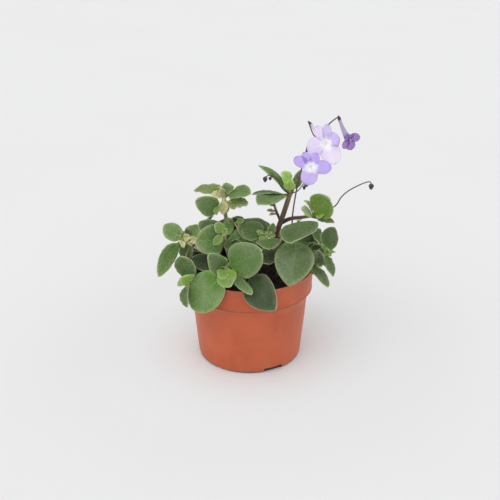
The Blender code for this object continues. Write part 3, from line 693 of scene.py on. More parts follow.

# Heart, outer part, margin (pale hairs with a painted highlight) and underside, and where it isn't 1 the
# strength of the mottling
LEAF_COLOURS = {
    "leaf_green": ((0.082, 0.195, 0.018), (0.113, 0.195, 0.056), (0.52, 0.60, 0.31), (0.19, 0.25, 0.125)),
    # greyer, darker tone: the greyer leaves' own colour, and painted shade on the inner leaves that use it
    "leaf_grey": ((0.052, 0.100, 0.024), (0.080, 0.115, 0.050), (0.48, 0.52, 0.29), (0.135, 0.175, 0.10)),
    "leaf_mottled": ((0.15, 0.24, 0.020), (0.22, 0.28, 0.10), (0.60, 0.60, 0.36), (0.26, 0.28, 0.13), 1.8),
    "leaf_downy": ((0.56, 0.60, 0.19), (0.60, 0.54, 0.27), (0.84, 0.78, 0.52), (0.60, 0.57, 0.32)),
    "leaf_young": ((0.25, 0.43, 0.024), (0.175, 0.325, 0.055), (0.56, 0.64, 0.34), (0.28, 0.37, 0.12)),
}

# Bark, young bark at the tip, and the dark foot: older bark with painted shade near the soil
STEM_COLOURS = {
    "stem_green": ((0.34, 0.25, 0.15), (0.64, 0.56, 0.34), (0.06, 0.045, 0.025)),
    "stem_brown": ((0.12, 0.06, 0.04), (0.26, 0.20, 0.11), (0.045, 0.026, 0.018)),
    "stalk_purple": ((0.070, 0.040, 0.048), (0.085, 0.05, 0.065), (0.04, 0.028, 0.032)),
}

# Throat, body, rim, stripes and the palest lobes
PETAL_COLOURS = {
    "petal_lilac": ((1.0, 0.97, 1.0), (0.40, 0.29, 0.83), (0.26, 0.19, 0.50), (0.34, 0.24, 0.78),
                    (0.82, 0.68, 0.95)),
    # the nodding side flower: the lilac darkened with painted shade, its throat too
    "petal_violet": ((0.16, 0.075, 0.28), (0.19, 0.095, 0.34), (0.12, 0.06, 0.20), (0.12, 0.05, 0.24),
                     (0.50, 0.40, 0.64)),
}


def leaf_finish(name, heart, outer, margin, underside, mottling=1.0):
    """Velvety leaf: greener at the heart, greyer outside, with sunk veins, a pale hairy margin that is
    partly painted highlight, and painted light and shade on each leaf.
    """
    f = Finish(name)
    along, across, edge = f.mark("leaf_place")
    share, upper, light = f.mark("leaf_state")
    place = f.place()
    mottle = f.noise(place, 9.0, 3.0)
    haze = f.noise(place, 16.0, 2.0)
    blotch = f.noise(place, 2.6, 2.0)
    speckle = f.noise(place, 0.9, 3.0)
    hairs = f.noise(place, 0.2, 1.0)
    off_rib = abs(across)
    sweep = (along - off_rib * VEIN_SWEEP) / (VEIN_GAP * MM)
    veins = 1 - f.step(abs(f.maths("FRACT", sweep) - 0.5), 0.0, 0.16)
    veins = veins * f.step(off_rib, 0.6, 2.5, MM) * f.step(edge, 0.8, 4.0, MM)
    rib = (1 - f.step(off_rib, 0.1, 0.9, MM)) * (1 - share * 0.8)
    net = 1 - f.step(f.cells(place, 2.1), 0.0, 0.22)
    face = f.layers(
        f.mix(f.step(share + (mottle - 0.5) * 0.7, 0.12, 0.6), heart, outer),
        (f.step(mottle + (blotch - 0.5) * 0.3, 0.45, 0.65) * 0.6, heart),
        (f.step(haze + (blotch - 0.5) * 0.25, 0.45, 0.65) * 0.5, underside),
        (f.step(blotch, 0.5, 0.7) * 0.22 * mottling, VEIN_DARK),
        ((1 - f.step(edge + (blotch - 0.5) * 4 * MM, 0.3, 4.5, MM)) * 0.16, margin),
        (veins * 0.05 * upper + rib * 0.12, margin),
        (net * 0.16 * mottling, VEIN_DARK),
        (1 - upper, underside),
        (f.step(speckle, 0.48, 0.75) * 0.18, margin),
    )
    # painted light and shade: each leaf's face made paler or darker by its light value
    face = f.mix(1.0, face, f.join(light, light, light), "MULTIPLY")
    # pale line along the margin and on the hairs: partly the hairs' own colour, partly a painted highlight
    # of light caught by them
    hair_and_painted_highlight_edge = 1 - f.step(edge + (speckle - 0.5) * 0.5 * MM, 0.05, 0.55, MM)
    relief = f.bump(1 - (veins * 0.45 + rib * 0.6 + net * 0.5), 0.45)
    relief = f.bump(speckle * 0.7 + hairs * 0.3, 0.26, f.bump(blotch, 0.8, relief))
    return f.finish(
        Base_Color=f.mix(hair_and_painted_highlight_edge * 0.85, face, margin), Roughness=0.6 + speckle * 0.22, Normal=relief,
        Sheen_Weight=0.16, Sheen_Roughness=0.4, Sheen_Tint=(0.80, 0.94, 0.64), Specular_IOR_Level=0.3,
        Subsurface_Weight=0.12, Subsurface_Radius=(0.6, 1.0, 0.3), Subsurface_Scale=0.002,
    )


def stem_finish(name, bark, young, dark):
    """Softly hairy stem: dark at its foot with older bark and painted shade, streaked, and paler towards its
    tip.
    """
    f = Finish(name)
    along, hair, _ = f.mark("stem_place")
    place = f.place()
    patches = f.noise(place, 5.0, 4.0)
    grain = f.noise(place, 0.6, 2.0)
    fuzz = f.noise(place, 0.2, 1.0)
    skin = f.layers(
        # dark at the foot: partly older bark, partly painted shade near the soil
        f.mix(f.step(along + (patches - 0.5) * 0.3, 0.15, 0.5), dark, bark),
        (f.step(along + (patches - 0.5) * 0.4, 0.45, 0.85), young),
        (f.step(patches, 0.5, 0.75) * 0.3, dark),
        (f.step(grain, 0.55, 0.8) * 0.4, young),
        (hair * 0.8, HAIR_PALE),
    )
    return f.finish(
        Base_Color=skin, Roughness=0.55 + grain * 0.25,
        Normal=f.bump(grain * 0.6 + fuzz * 0.4, 0.25, f.bump(patches, 0.5)),
        Sheen_Weight=0.25, Sheen_Roughness=0.4, Sheen_Tint=(0.95, 0.92, 0.85),
        Subsurface_Weight=0.1, Subsurface_Radius=(1.0, 0.7, 0.4), Subsurface_Scale=0.001,
    )


def petal_finish(name, throat, body, rim, stripe, pale):
    """Thin petal: white in the throat, tinted outwards, with fine veins running to a darker rim and a
    painted glow of its own colour.
    """
    f = Finish(name)
    out, side, paleness = f.mark("petal_place")
    place = f.place()
    cloud = f.noise(place, 5.0, 3.0)
    grain = f.noise(place, 0.5, 2.0)
    fan = f.noise(f.join(side * 0.02, out * 0.002, paleness * 0.05), 1.5, 2.0)
    edge = f.maths("MAXIMUM", f.step(out, 0.9, 1.0), f.step(abs(side), 0.84, 1.0) * f.step(out, 0.3, 0.5))
    tint = f.mix(f.step(paleness + (cloud - 0.5) * 0.3, 0.1, 1.0), body, pale)
    colour = f.layers(
        f.mix(f.step(out + (fan - 0.5) * 0.3, 0.16, 0.42), throat, tint),
        (f.step(fan, 0.52, 0.68) * f.step(out, 0.2, 0.4) * (0.4 - paleness * 0.25), stripe),
        (edge * (0.75 - paleness * 0.5), rim),
    )
    return f.finish(
        Base_Color=colour, Roughness=0.5 + grain * 0.15, Normal=f.bump(fan, 0.3, f.bump(grain, 0.06)),
        Sheen_Weight=0.06, Sheen_Roughness=0.35, Sheen_Tint=(0.95, 0.93, 1.0), Specular_IOR_Level=0.3,
        # painted glow: the petal's own colour shines a little
        Emission_Color=colour, Emission_Strength=PETAL_PAINTED_GLOW,
        Subsurface_Weight=0.6, Subsurface_Radius=(1.0, 0.9, 1.2), Subsurface_Scale=0.003,
    )


def pot_finish():
    """Injection-moulded plastic: satin, faintly mottled, scuffed on the rim and dusty at the foot, with
    painted shade inside the rim, in the notches, at the foot and under the band.
    """
    f = Finish("pot_plastic")
    place = f.place()
    x, y, z = f.split(place)
    radius = (x * x + y * y) ** 0.5
    cloud = f.noise(place, 34.0, 3.0)
    flow = f.noise(f.join(x, y, z * 0.25), 9.0, 3.0)
    grain = f.noise(place, 0.5, 2.0)
    specks = f.step(f.cells(place, 5.0, "F1"), 0.07, 0.03)
    dust = (1 - f.step(z + (cloud - 0.5) * (30 * MM), 2, 20, MM)) * f.step(flow, 0.4, 0.7)
    # painted shade: the inside of the rim above the soil, the notches and the underside, and a contact
    # shadow along the foot
    inside = (1 - f.step(radius, 58.8, 59.2, MM)) * f.step(z, 70, 72, MM) * (1 - f.step(z, 87.5, 90.5, MM))
    under = (1 - f.step(radius, 48.4, 49.0, MM)) * (1 - f.step(z, 4.6, 4.9, MM))
    contact_shadow = 1 - f.step(z + (flow - 0.5) * MM, 0.8, 2.0, MM)
    # painted shade: a thin dark line under the band's lower edge
    band_shadow = f.step(z, 69.0, 69.6, MM) * (1 - f.step(z, 70.6, 71.2, MM)) * f.step(flow, 0.25, 0.6)
    scuff = f.step(z, 89.5, 91.2, MM) * f.step(flow, 0.35, 0.6)
    colour = f.layers(
        f.mix(f.step(cloud, 0.3, 0.7), POT_DEEP, POT_LIGHT),
        (f.step(flow, 0.4, 0.75) * 0.25, POT_LIGHT),
        (dust * 0.12, POT_DUST),
        (scuff * 0.35, POT_DUST),
        (specks * 0.35 + band_shadow * 0.5, SPECK_AND_SHADE_BROWN),
        (f.maths("MAXIMUM", f.maths("MAXIMUM", inside * 0.75, under), contact_shadow * 0.85), PAINTED_SHADE_BROWN),
    )
    return f.finish(
        Base_Color=colour, Roughness=0.40 + flow * 0.14 + dust * 0.2,
        Normal=f.bump(flow, 0.06, f.bump(grain, 0.02)), Specular_IOR_Level=0.4,
        Coat_Weight=0.08, Coat_Roughness=0.35,
    )


def peat_finish():
    """Moist dark peat with brown fibres."""
    f = Finish("peat")
    place = f.place()
    lumps = f.noise(place, 2.2, 5.0, 0.65)
    fibres = f.noise(place, 0.6, 3.0)
    colour = f.mix(f.step(lumps, 0.35, 0.75), PEAT_DARK, PEAT_BROWN)
    return f.finish(
        Base_Color=f.mix(f.step(fibres, 0.62, 0.8) * 0.5, colour, PEAT_FIBRE),
        Roughness=0.72 + fibres * 0.25, Normal=f.bump(lumps, 1.2, f.bump(fibres, 0.4)),
        Specular_IOR_Level=0.3,
    )


def pistil_finish():
    """Pale and smooth, with a faint painted glow in place of daylight."""
    f = Finish("pistil")
    grain = f.noise(f.place(), 0.3, 2.0)
    colour = f.mix(grain, PISTIL_WHITE, PISTIL_CREAM)
    return f.finish(
        Base_Color=colour, Roughness=0.5 + grain * 0.2, Normal=f.bump(grain, 0.1),
        Emission_Color=colour, Emission_Strength=PISTIL_PAINTED_GLOW,
    )


def backdrop_finish():
    """Matt pale floor, with a painted cool tint round the pot."""
    f = Finish("backdrop")
    place = f.place()
    x, y, _ = f.split(place)
    counter_glow = 1 - f.step((x * x + y * y) ** 0.5, 50, 190, MM)
    colour = f.mix(counter_glow, f.mix(f.noise(place, 400.0, 2.0), FLOOR_WARM, FLOOR_COOL), FLOOR_PAINTED_COOL)
    return f.finish(Base_Color=colour, Roughness=0.9, Specular_IOR_Level=0.1)


FINISHES = {
    name: make_finish(name, *colours)
    for make_finish, table in (
        (leaf_finish, LEAF_COLOURS), (stem_finish, STEM_COLOURS), (petal_finish, PETAL_COLOURS)
    )
    for name, colours in table.items()
}
FINISHES.update(pot_plastic=pot_finish(), peat=peat_finish(), pistil=pistil_finish())


def direction(heading, climb):
    """A unit vector that points along a heading and climbs from the level."""
    turn, rise = math.radians(heading), math.radians(climb)
    return np.array([math.cos(turn) * math.cos(rise), math.sin(turn) * math.cos(rise), math.sin(rise)])


def unit(vector):
    return vector / np.linalg.norm(vector)


def ease(value, low, high):
    """0 at low, 1 at high and a soft step between them, on numbers or arrays."""
    share = np.clip((np.asarray(value, float) - low) / (high - low), 0.0, 1.0)
    return share * share * (3 - 2 * share)


def put(name, data):
    """Puts an object in the scene."""
    made = bpy.data.objects.new(name, data)
    bpy.context.scene.collection.objects.link(made)
    return made


def quads(rows, size, closed):
    """The faces of a grid of points, whose rows are closed rings or open."""
    return [
        (i * size + j, i * size + (j + 1) % size, (i + 1) * size + (j + 1) % size, (i + 1) * size + j)
        for i in range(rows - 1) for j in range(size if closed else size - 1)
    ]


class Skin:
    """Points in millimetres, their faces and their marks, gathered for one piece."""

    def __init__(self):
        self.points, self.faces, self.marks = [], [], {}
        self.count = 0

    def add(self, points, faces, **marks):
        points = np.asarray(points, float)
        self.faces += [tuple(self.count + i for i in face) for face in faces]
        for name, values in marks.items():
            self.marks.setdefault(name, []).append(np.broadcast_to(values, points.shape).reshape(-1, 3))
        self.points.append(points.reshape(-1, 3))
        self.count += len(self.points[-1])

    def loft(self, rings, **marks):
        """A closed skin over rings with equally many points."""
        count, size = np.shape(rings)[:2]
        ends = [tuple(range(size)), tuple(range((count - 1) * size, count * size))]
        self.add(rings, quads(count, size, closed=True) + ends, **marks)

    def sheet(self, grid, **marks):
        """An open sheet over a grid of points."""
        self.add(grid, quads(*np.shape(grid)[:2], closed=False), **marks)

    def tube(self, path, radii, sides, **marks):
        self.loft(tube_rings(path, radii, sides), **marks)

    def hairs(self, roots, ways, lengths, **marks):
        """Fine closed cones that stand on the roots."""
        ways = ways / np.linalg.norm(ways, axis=1)[:, None]
        first = np.cross(ways, (0.21, 0.93, 0.30))
        first /= np.linalg.norm(first, axis=1)[:, None]
        second = np.cross(ways, first)
        corners = [
            roots + HAIR_RADIUS * (math.cos(turn) * first + math.sin(turn) * second)
            for turn in (0, FULL_TURN / 3, 2 * FULL_TURN / 3)
        ]
        points = np.stack((*corners, roots + ways * lengths[:, None]), 1)
        faces = []
        for i in range(0, 4 * len(roots), 4):
            faces += [(i, i + 1, i + 3), (i + 1, i + 2, i + 3), (i + 2, i, i + 3), (i + 2, i + 1, i)]
        self.add(points, faces, **marks)

    def mesh(self, name, finish, size=MM):
        made = bpy.data.meshes.new(name)
        made.from_pydata((np.concatenate(self.points) * size).tolist(), [], self.faces)
        for mark, values in self.marks.items():
            attribute = made.attributes.new(mark, "FLOAT_VECTOR", "POINT")
            attribute.data.foreach_set("vector", np.concatenate(values).astype(np.float32).ravel())
        bm = bmesh.new()
        bm.from_mesh(made)
        bmesh.ops.recalc_face_normals(bm, faces=bm.faces)
        bm.to_mesh(made)
        bm.free()
        made.shade_smooth()
        made.materials.append(finish)
        return made

    def piece(self, name, slot, *nodes):
        """Makes the object. It rides on the root and stands for the CAD nodes named."""
        made = put(name, self.mesh(name, FINISHES[slot]))
        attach(made, "root")
        if nodes:
            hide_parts(*nodes)
        return made


def smooth_path(points, spans):
    """A Catmull-Rom curve through the points, with this many spans between each two of them."""
    knots = [np.array(p, float) for p in points]
    knots = [2 * knots[0] - knots[1], *knots, 2 * knots[-1] - knots[-2]]
    path = []
    for a, b, c, d in zip(knots, knots[1:], knots[2:], knots[3:]):
        for t in np.arange(spans) / spans:
            bend = 2 * b + (c - a) * t + (2 * a - 5 * b + 4 * c - d) * t**2 + (3 * b - a - 3 * c + d) * t**3
            path.append(0.5 * bend)
    return np.array([*path, knots[-2]])


def tube_rings(path, radii, sides):
    """Rings round a path, each turned as little as possible from the one before, with rounded ends."""
    path, radii = np.asarray(path, float), np.asarray(radii, float)
    tangents = np.gradient(path, axis=0)
    tangents /= np.linalg.norm(tangents, axis=1)[:, None]
    normal = unit(np.cross(tangents[0], (0.31, 0.87, 0.38)))
    angles = FULL_TURN * np.arange(sides) / sides
    rings = []
    for point, tangent, radius in zip(path, tangents, radii):
        normal = unit(normal - tangent * np.dot(normal, tangent))
        spokes = np.outer(np.cos(angles), normal) + np.outer(np.sin(angles), np.cross(tangent, normal))
        if not rings:
            rings += [point + radius * (size * spokes - reach * tangent) for size, reach in CAP_RINGS]
        rings.append(point + radius * spokes)
    rings += [point + radius * (size * spokes + reach * tangent) for size, reach in CAP_RINGS[::-1]]
    return np.array(rings)


def pot_inside_radius(z):
    heights = (0.0, STEP_Z, BAND_FOOT_Z, POT_HEIGHT)
    radii = (FOOT_RADIUS, STEP_RADIUS, BAND_FOOT_RADIUS, POT_RIM_RADIUS)
    return float(np.interp(z, heights, radii)) - POT_WALL


def soil_height(x, y):
    return SOIL_EDGE_Z + SOIL_CROWN * (1 - (np.hypot(x, y) / pot_inside_radius(SOIL_EDGE_Z)) ** 2)


def stem_path(name):
    """The stem's smooth run. One that stands on the soil, whose foot has no height, starts upright in it."""
    points = RUNS[name][0]
    if len(points[0]) == 3:
        return smooth_path(points, STEM_SPANS)
    foot = np.array([*points[0], soil_height(*points[0]) + GAP])
    raised = foot + (0, 0, STEM_FOOT)
    return np.array([foot - (0, 0, STEM_FOOT), foot, *smooth_path([raised, *points[1:]], STEM_SPANS)])


def point_on_stem(name, share):
    """Place, direction and radius at a share of the stem's length above the soil."""
    points, foot_radius, tip_radius = RUNS[name]
    path = stem_path(name)
    if len(points[0]) == 2:
        path = path[1:]
    steps = np.diff(path, axis=0)
    lengths = np.linalg.norm(steps, axis=1)
    reached = np.concatenate(([0.0], np.cumsum(lengths)))
    goal = share * reached[-1]
    i = min(int(np.searchsorted(reached, goal, side="right")) - 1, len(steps) - 1)
    radius = foot_radius + share * (tip_radius - foot_radius)
    return path[i] + steps[i] * (goal - reached[i]) / lengths[i], unit(steps[i]), radius


def add_stem(skin, name, rng):
    """Adds a stem with a swelling at each leaf and short hairs along it."""
    path = stem_path(name)
    _, foot_radius, tip_radius = RUNS[name]
    share = np.linspace(0, 1, len(path))
    radii = foot_radius + share * (tip_radius - foot_radius)
    rows = [*((stem, leaves.values()) for stem, leaves in LEAVES), *MORE_LEAVES]
    for leaf in [leaf for stem, leaves in rows if stem == name for leaf in leaves]:
        radii = radii * (1 + NODE_SWELLING * np.exp(-(((share - leaf.at) / NODE_SHARE) ** 2)))
    rings = tube_rings(path, radii, STEM_SIDES)
    skin.loft(rings, stem_place=np.linspace(0, 1, len(rings))[:, None, None] * (1, 0, 0))
    count = STEM_HAIRS * len(path)
    i = rng.integers(4, len(rings) - 3, count)
    j = rng.integers(0, STEM_SIDES, count)
    middle = rings.mean(1)
    slide = rng.uniform(0, 1, count)[:, None]
    roots = rings[i, j] * slide + rings[i + 1, j] * (1 - slide)
    centres = middle[i] * slide + middle[i + 1] * (1 - slide)
    ways = roots - centres + rng.normal(0, 0.4, (count, 3))
    skin.hairs(roots, ways, HAIR_LENGTH * rng.uniform(0.7, 1.3, count), stem_place=(1.0, 1.0, 0.0))


def make_stems():
    """The stems that are CAD nodes, and then the shoots that the looks add."""
    rng = np.random.default_rng(3)
    shoots = {f"shoot_{run}": (run,) for run in SIDE_SHOOTS}
    for name, runs in {**PLANTLETS, **shoots}.items():
        skin = Skin()
        for run in runs:
            add_stem(skin, run, rng)
        nodes = [name] if name in PLANTLETS else []
        skin.piece(f"{name}_bark", "stem_brown" if name in BROWN_STEMS else "stem_green", *nodes)


def half_widths(share, leaf):
    """Half of the leaf's width at shares of its length."""
    along = (share - PETIOLE_SHARE) / (1.0 - PETIOLE_SHARE)
    base = np.sqrt(np.clip(1.0 - ((WIDEST_AT - along) / WIDEST_AT) ** 2, 0.0, 1.0))
    base = np.maximum(PETIOLE_WIDTH, leaf.width * base) / 2
    off = np.clip((along - WIDEST_AT) / (1.0 - WIDEST_AT), 0.0, 1.0)
    power = ROUND_TIP_POWER + leaf.point * (POINTED_TIP_POWER - ROUND_TIP_POWER)
    tip = np.maximum(TIP_WIDTH, leaf.width * (1.0 - off**2) ** power) / 2
    return np.where(along <= 0.0, PETIOLE_WIDTH / 2, np.where(along < WIDEST_AT, base, tip))


def leaf_axes(stem, leaf):
    """The leaf's axes, its base point on the stem's surface and how far that is from the stem's middle."""
    ahead = direction(leaf.heading, leaf.climb)
    face = direction(leaf.face_heading, leaf.face_climb)
    up = unit(face - face.dot(ahead) * ahead)
    side = np.cross(up, ahead)
    place, along_stem, radius = point_on_stem(stem, leaf.at)
    away = ahead - ahead.dot(along_stem) * along_stem
    if np.linalg.norm(away) < NEARLY_IN_LINE:
        away = up - up.dot(along_stem) * along_stem
    away = unit(away)
    reach = radius + GAP + abs(side.dot(away)) * PETIOLE_WIDTH / 2 + abs(up.dot(away)) * LEAF_THICKNESS / 2
    return ahead, side, up, place + reach * away, reach


def leaf_relief(x, y, share, side, rng):
    """The vein grooves' strength and the blade's own unevenness."""
    sweep = (x - VEIN_SWEEP * np.abs(y)) / VEIN_GAP
    off = np.abs(sweep - np.floor(sweep) - 0.5) * VEIN_GAP
    veins = np.exp(-((off / VEIN_WIDTH) ** 2)) * ease(np.abs(y), 0.5, 3.0)
    veins = veins * (1 - ease(np.abs(side), 0.7, 0.97))
    rib = np.exp(-((y / VEIN_WIDTH) ** 2)) * (1 - 0.7 * share)
    a, b, c = rng.uniform(0, FULL_TURN, 3)
    uneven = 0.5 * np.sin(5 * share + a) * side + 0.4 * np.sin(9 * share + b + 2 * side) * side**2
    uneven = uneven + 0.25 * np.sin(7 * side + c) * np.abs(side) + 0.2 * np.sin(11 * share + c) * side
    return veins, rib, uneven


def add_leaf(skin, leaf, axes, rng):
    """Adds a leaf's closed skin, rings round the blade from inside the stem to the tip, and its hairs."""
    ahead, side_axis, up, base, reach = axes
    rings_count, columns = SMALL_LEAF_GRID if leaf.length < SMALL_LEAF else LEAF_GRID
    shares = 0.5 * (1 - np.cos(np.pi * np.linspace(0, 1, rings_count)))
    across = np.sin(0.5 * np.pi * np.linspace(-1, 1, columns))
    share, side = np.meshgrid(shares, across, indexing="ij")
    half = half_widths(shares, leaf)
    slope = np.gradient(half, shares * leaf.length + 1e-6)[:, None]
    half = half[:, None]
    x, y = share * leaf.length, side * half
    x[0] -= reach
    blade = ease(share, PETIOLE_SHARE * 0.8, PETIOLE_SHARE + 0.15)
    veins, rib, uneven = (values * blade for values in leaf_relief(x, y, share, side, rng))
    turn = np.arctan2(y, x - 0.5 * leaf.length)
    waves = leaf.ruffle * np.sin(rng.integers(7, 11) * turn + rng.uniform(0, 6)) * side**4
    fold = np.sqrt((2 * y / leaf.width) ** 2 + 0.01) - 0.1
    middle = leaf.cup * leaf.width / 2 * (FOLD_SHARE * fold + (1 - FOLD_SHARE) * (2 * y / leaf.width) ** 2)
    middle = middle + leaf.arch * leaf.length * 4 * share * (1.0 - share)
    middle = middle + (waves + uneven * leaf.width / 22 - EDGE_ROLL * side**6) * blade
    thick = min(1.0, 0.45 + leaf.length / 40)
    thick = thick * (PETIOLE_THICKNESS + (LEAF_THICKNESS - PETIOLE_THICKNESS) * ease(share, 0.0, 0.3))
    thick = thick * np.sqrt(1 - np.abs(side) ** (2 + 8 * blade) + 0.002) * (1 - 0.6 * share**14)
    upper, lower = (
        middle + sign * thick / 2 - rib_depth * rib - vein_depth * veins
        for sign, rib_depth, vein_depth in zip((1, -1), RIB_GROOVES, VEIN_GROOVES)
    )
    edge = np.maximum(half - np.abs(y), 0.0) / np.sqrt(1 + slope**2)
    edge = np.where(blade > 0.2, edge, 3.0)
    curved = y + leaf.bow * leaf.length * 4 * share * (1 - share)
    # the leaf's painted light and shade, varied a little at random
    seed = leaf.light * rng.uniform(0.92, 1.08)

    def around(over, under):
        """Rings of three numbers each: over the upper side and back under the leaf."""
        over, under = (np.stack(np.broadcast_arrays(*values), 2) for values in (over, under))
        return np.concatenate((over, under[:, -2:0:-1]), 1)

    rings = base + around((x, curved, upper), (x, curved, lower)) @ np.array([ahead, side_axis, up])
    place = around((x, y, edge), (x, y, edge)) * MM
    state = around((share, 1.0, seed), (share, 0.0, seed))
    skin.loft(rings, leaf_place=place, leaf_state=state)
    for column, sign in ((0, -1.0), (columns - 1, 1.0)):
        count = int(leaf.length / HAIR_GAP)
        spot = rng.uniform(0.2, 1.0, count) * (len(rings) - 1.001)
        i, slide = spot.astype(int), (spot % 1)[:, None]
        roots = rings[i, column] * (1 - slide) + rings[i + 1, column] * slide
        ways = sign * side_axis - np.clip(slope[i], -3, 3) * ahead
        ways = ways / np.linalg.norm(ways, axis=1)[:, None] + rng.normal(0, 0.3, (count, 3)) + 0.2 * up
        lengths = HAIR_LENGTH * rng.uniform(0.6, 1.3, count)
        skin.hairs(roots, ways, lengths, leaf_place=(0, 0, 0), leaf_state=(0.5, 1.0, seed))


def make_leaves():
    """The leaves that are CAD nodes. Each one's place in the table seeds its random draws."""
    rows = [(stem, *row) for stem, leaves in LEAVES for row in leaves.items()]
    for seed, (stem, name, leaf) in enumerate(rows):
        skin = Skin()
        add_leaf(skin, leaf, leaf_axes(stem, leaf), np.random.default_rng(seed))
        skin.piece(f"velvet_leaf_{name}", f"leaf_{leaf.tone}", f"leaf_{name}")


def make_more_leaves():
    """The young and hidden leaves: one piece for each shoot and tone."""
    rng = np.random.default_rng(5)
    skins = {}
    for stem, leaves in MORE_LEAVES:
        for leaf in leaves:
            skin = skins.setdefault((stem, leaf.tone), Skin())
            add_leaf(skin, leaf, leaf_axes(stem, leaf), rng)
    for stem, tuft in TUFTS.items():
        add_tuft(skins.setdefault((stem, "young"), Skin()), stem, *tuft, rng)
    for (stem, tone), skin in skins.items():
        skin.piece(f"sprig_{stem}_leaf_{tone}", f"leaf_{tone}")


def add_tuft(skin, stem, turn, length, pairs, rng):
    """Adds pairs of ever smaller and steeper leaves round a stem's tip."""
    place, tangent, _ = point_on_stem(stem, 1.0)
    axis = unit(tangent + np.array([0, 0, TUFT_LIFT]))
    right = unit(np.cross((0.1, 1.0, 0.0), axis))
    front = np.cross(axis, right)
    for pair in range(pairs):
        size = length * TUFT_SHRINK**pair
        for half_turn in (0, 180):
            angle = math.radians(turn + 90 * pair + half_turn + rng.uniform(-15, 15))
            climb = math.radians(TUFT_CLIMB + TUFT_STEEPENING * pair + rng.uniform(-8, 8))
            out = math.cos(angle) * right + math.sin(angle) * front
            ahead = math.cos(climb) * out + math.sin(climb) * axis
            up = math.cos(climb) * axis - math.sin(climb) * out
            leaf = young(1, 0, 0, size, size * TUFT_ROUNDNESS, 0, 0, cup=0.55, arch=0.1, ruffle=0.3)
            base = place + 0.5 * ahead + pair * 0.3 * axis
            add_leaf(skin, leaf, (ahead, np.cross(up, ahead), up, base, 1.0), rng)


def corolla_path(flower):
    """The tube's centre line from the calyx to the throat, and its direction at each ring."""
    face = direction(flower.face_heading, flower.face_climb)
    start, end = np.array(flower.calyx, float), np.array(flower.throat, float)
    handle = end - face * TUBE_HANDLE * np.linalg.norm(end - start)
    start = start + unit(handle - start) * CALYX_GAP
    t = np.linspace(0, 1, TUBE_RINGS)[:, None]
    places = (1 - t) ** 2 * start + 2 * t * (1 - t) * handle + t**2 * end
    tangents = 2 * (1 - t) * (handle - start) + 2 * t * (end - handle)
    return places, tangents / np.linalg.norm(tangents, axis=1)[:, None]


def ring_axes(tangent, turn=0.0):
    """Two directions across the tangent, turned from level to the right, as the flower is faced, and up."""
    right = np.cross((0, 0, 1), tangent)
    if np.linalg.norm(right) < NEARLY_IN_LINE:
        right = np.array([1.0, 0.0, 0.0])
    right = unit(right)
    up = np.cross(tangent, right)
    return math.cos(turn) * right + math.sin(turn) * up, math.cos(turn) * up - math.sin(turn) * right


def add_corolla_tube(skin, places, tangents, mouth):
    """Adds the tube as a sheet that ends a little behind the flower's face."""
    angles = FULL_TURN * np.arange(TUBE_SIDES + 1) / TUBE_SIDES
    from_face = np.linalg.norm(places - places[-1], axis=1)
    count = int(np.argmax(from_face < TUBE_SETBACK))
    radii = TUBE_BASE_RADIUS + (mouth - TUBE_BASE_RADIUS) * np.linspace(0, 1, len(places)) ** TUBE_FLARE
    rows = []
    for place, tangent, radius in zip(places[:count], tangents, radii):
        right, up = ring_axes(tangent)
        flutes = radius * (1 + 0.05 * np.cos(FLUTES * angles))
        rows.append(place + np.outer(flutes * np.cos(angles), right) + np.outer(flutes * np.sin(angles), up))
    whiter = np.interp(from_face[:count], (TUBE_SETBACK, WHITE_THROAT), (0.05, 0.45))[:, None]
    side = np.sin(angles * FLUTES / 2)[None, :] * 0.7
    skin.sheet(rows, petal_place=np.stack(np.broadcast_arrays(whiter, side, 0.95), 2))


def add_lobe(skin, throat, tangent, lobe, spread, index, rng):
    """Adds a lobe: a sheet that starts as its share of the funnel and turns out into the face."""
    angle, reach, width, pale = lobe
    rings, columns = LOBE_GRID
    share, across = np.meshgrid(np.linspace(0, 1, rings), np.linspace(-1, 1, columns), indexing="ij")
    opening = ease(share, 0.0, FUNNEL_SHARE)
    lean = np.radians(FUNNEL_LEAN + (spread - FUNNEL_LEAN) * opening + TIP_CURL * share**3)
    flat = np.radians(FUNNEL_LEAN + (FLAT_FACE - FUNNEL_LEAN) * opening)
    step = (reach - FUNNEL_RADIUS) / np.sin(flat[:, 0]).mean() / (rings - 1)
    radial = FUNNEL_RADIUS + step * np.cumsum(np.sin(lean), 0)
    axial = step * np.cumsum(np.cos(lean), 0)
    axial = axial - axial[int(0.3 * rings)]
    free = ease(share, 0.16, 0.5)
    rounding = np.clip(share - LOBE_ROUND_AT, 0, 1) / (1 - LOBE_ROUND_AT)
    own = 0.5 * width * np.sqrt(np.clip(1 - rounding**2.3, 0.0, 1.0))
    y = across * (0.68 * radial * (1 - free) + np.maximum(own, 0.15) * free)
    turn = y / radial
    outward = radial * np.cos(turn) * (1 - free) + (radial - 0.03 * y**2) * free
    sideways = radial * np.sin(turn) * (1 - free) + y * free
    a, b = rng.uniform(0, FULL_TURN, 2)
    axial = axial + 0.3 * (index % 2) * free - free * 0.035 * y**2
    axial = axial + free * (0.5 * across**2 * np.sin(5 * share + b) + 0.35 * share * np.sin(4 * across + a))
    radial_axis, side_axis = ring_axes(tangent, math.radians(angle))
    points = throat + outward[..., None] * radial_axis + sideways[..., None] * side_axis
    points = points + axial[..., None] * tangent
    skin.sheet(points, petal_place=np.stack(np.broadcast_arrays(share, across, pale), 2))


def make_corollas():
    for number, flower in enumerate(FLOWERS):
        rng = np.random.default_rng(number)
        skin = Skin()
        places, tangents = corolla_path(flower)
        add_corolla_tube(skin, places, tangents, flower.mouth)
        for index, lobe in enumerate(flower.lobes):
            add_lobe(skin, places[-1], tangents[-1], lobe, flower.spread, index, rng)
        petals = skin.piece(f"{flower.name}_petals", flower.tone, flower.name)
        solidify = petals.modifiers.new("thickness", "SOLIDIFY")
        solidify.thickness = COROLLA_THICKNESS * MM
        solidify.offset = 0.0


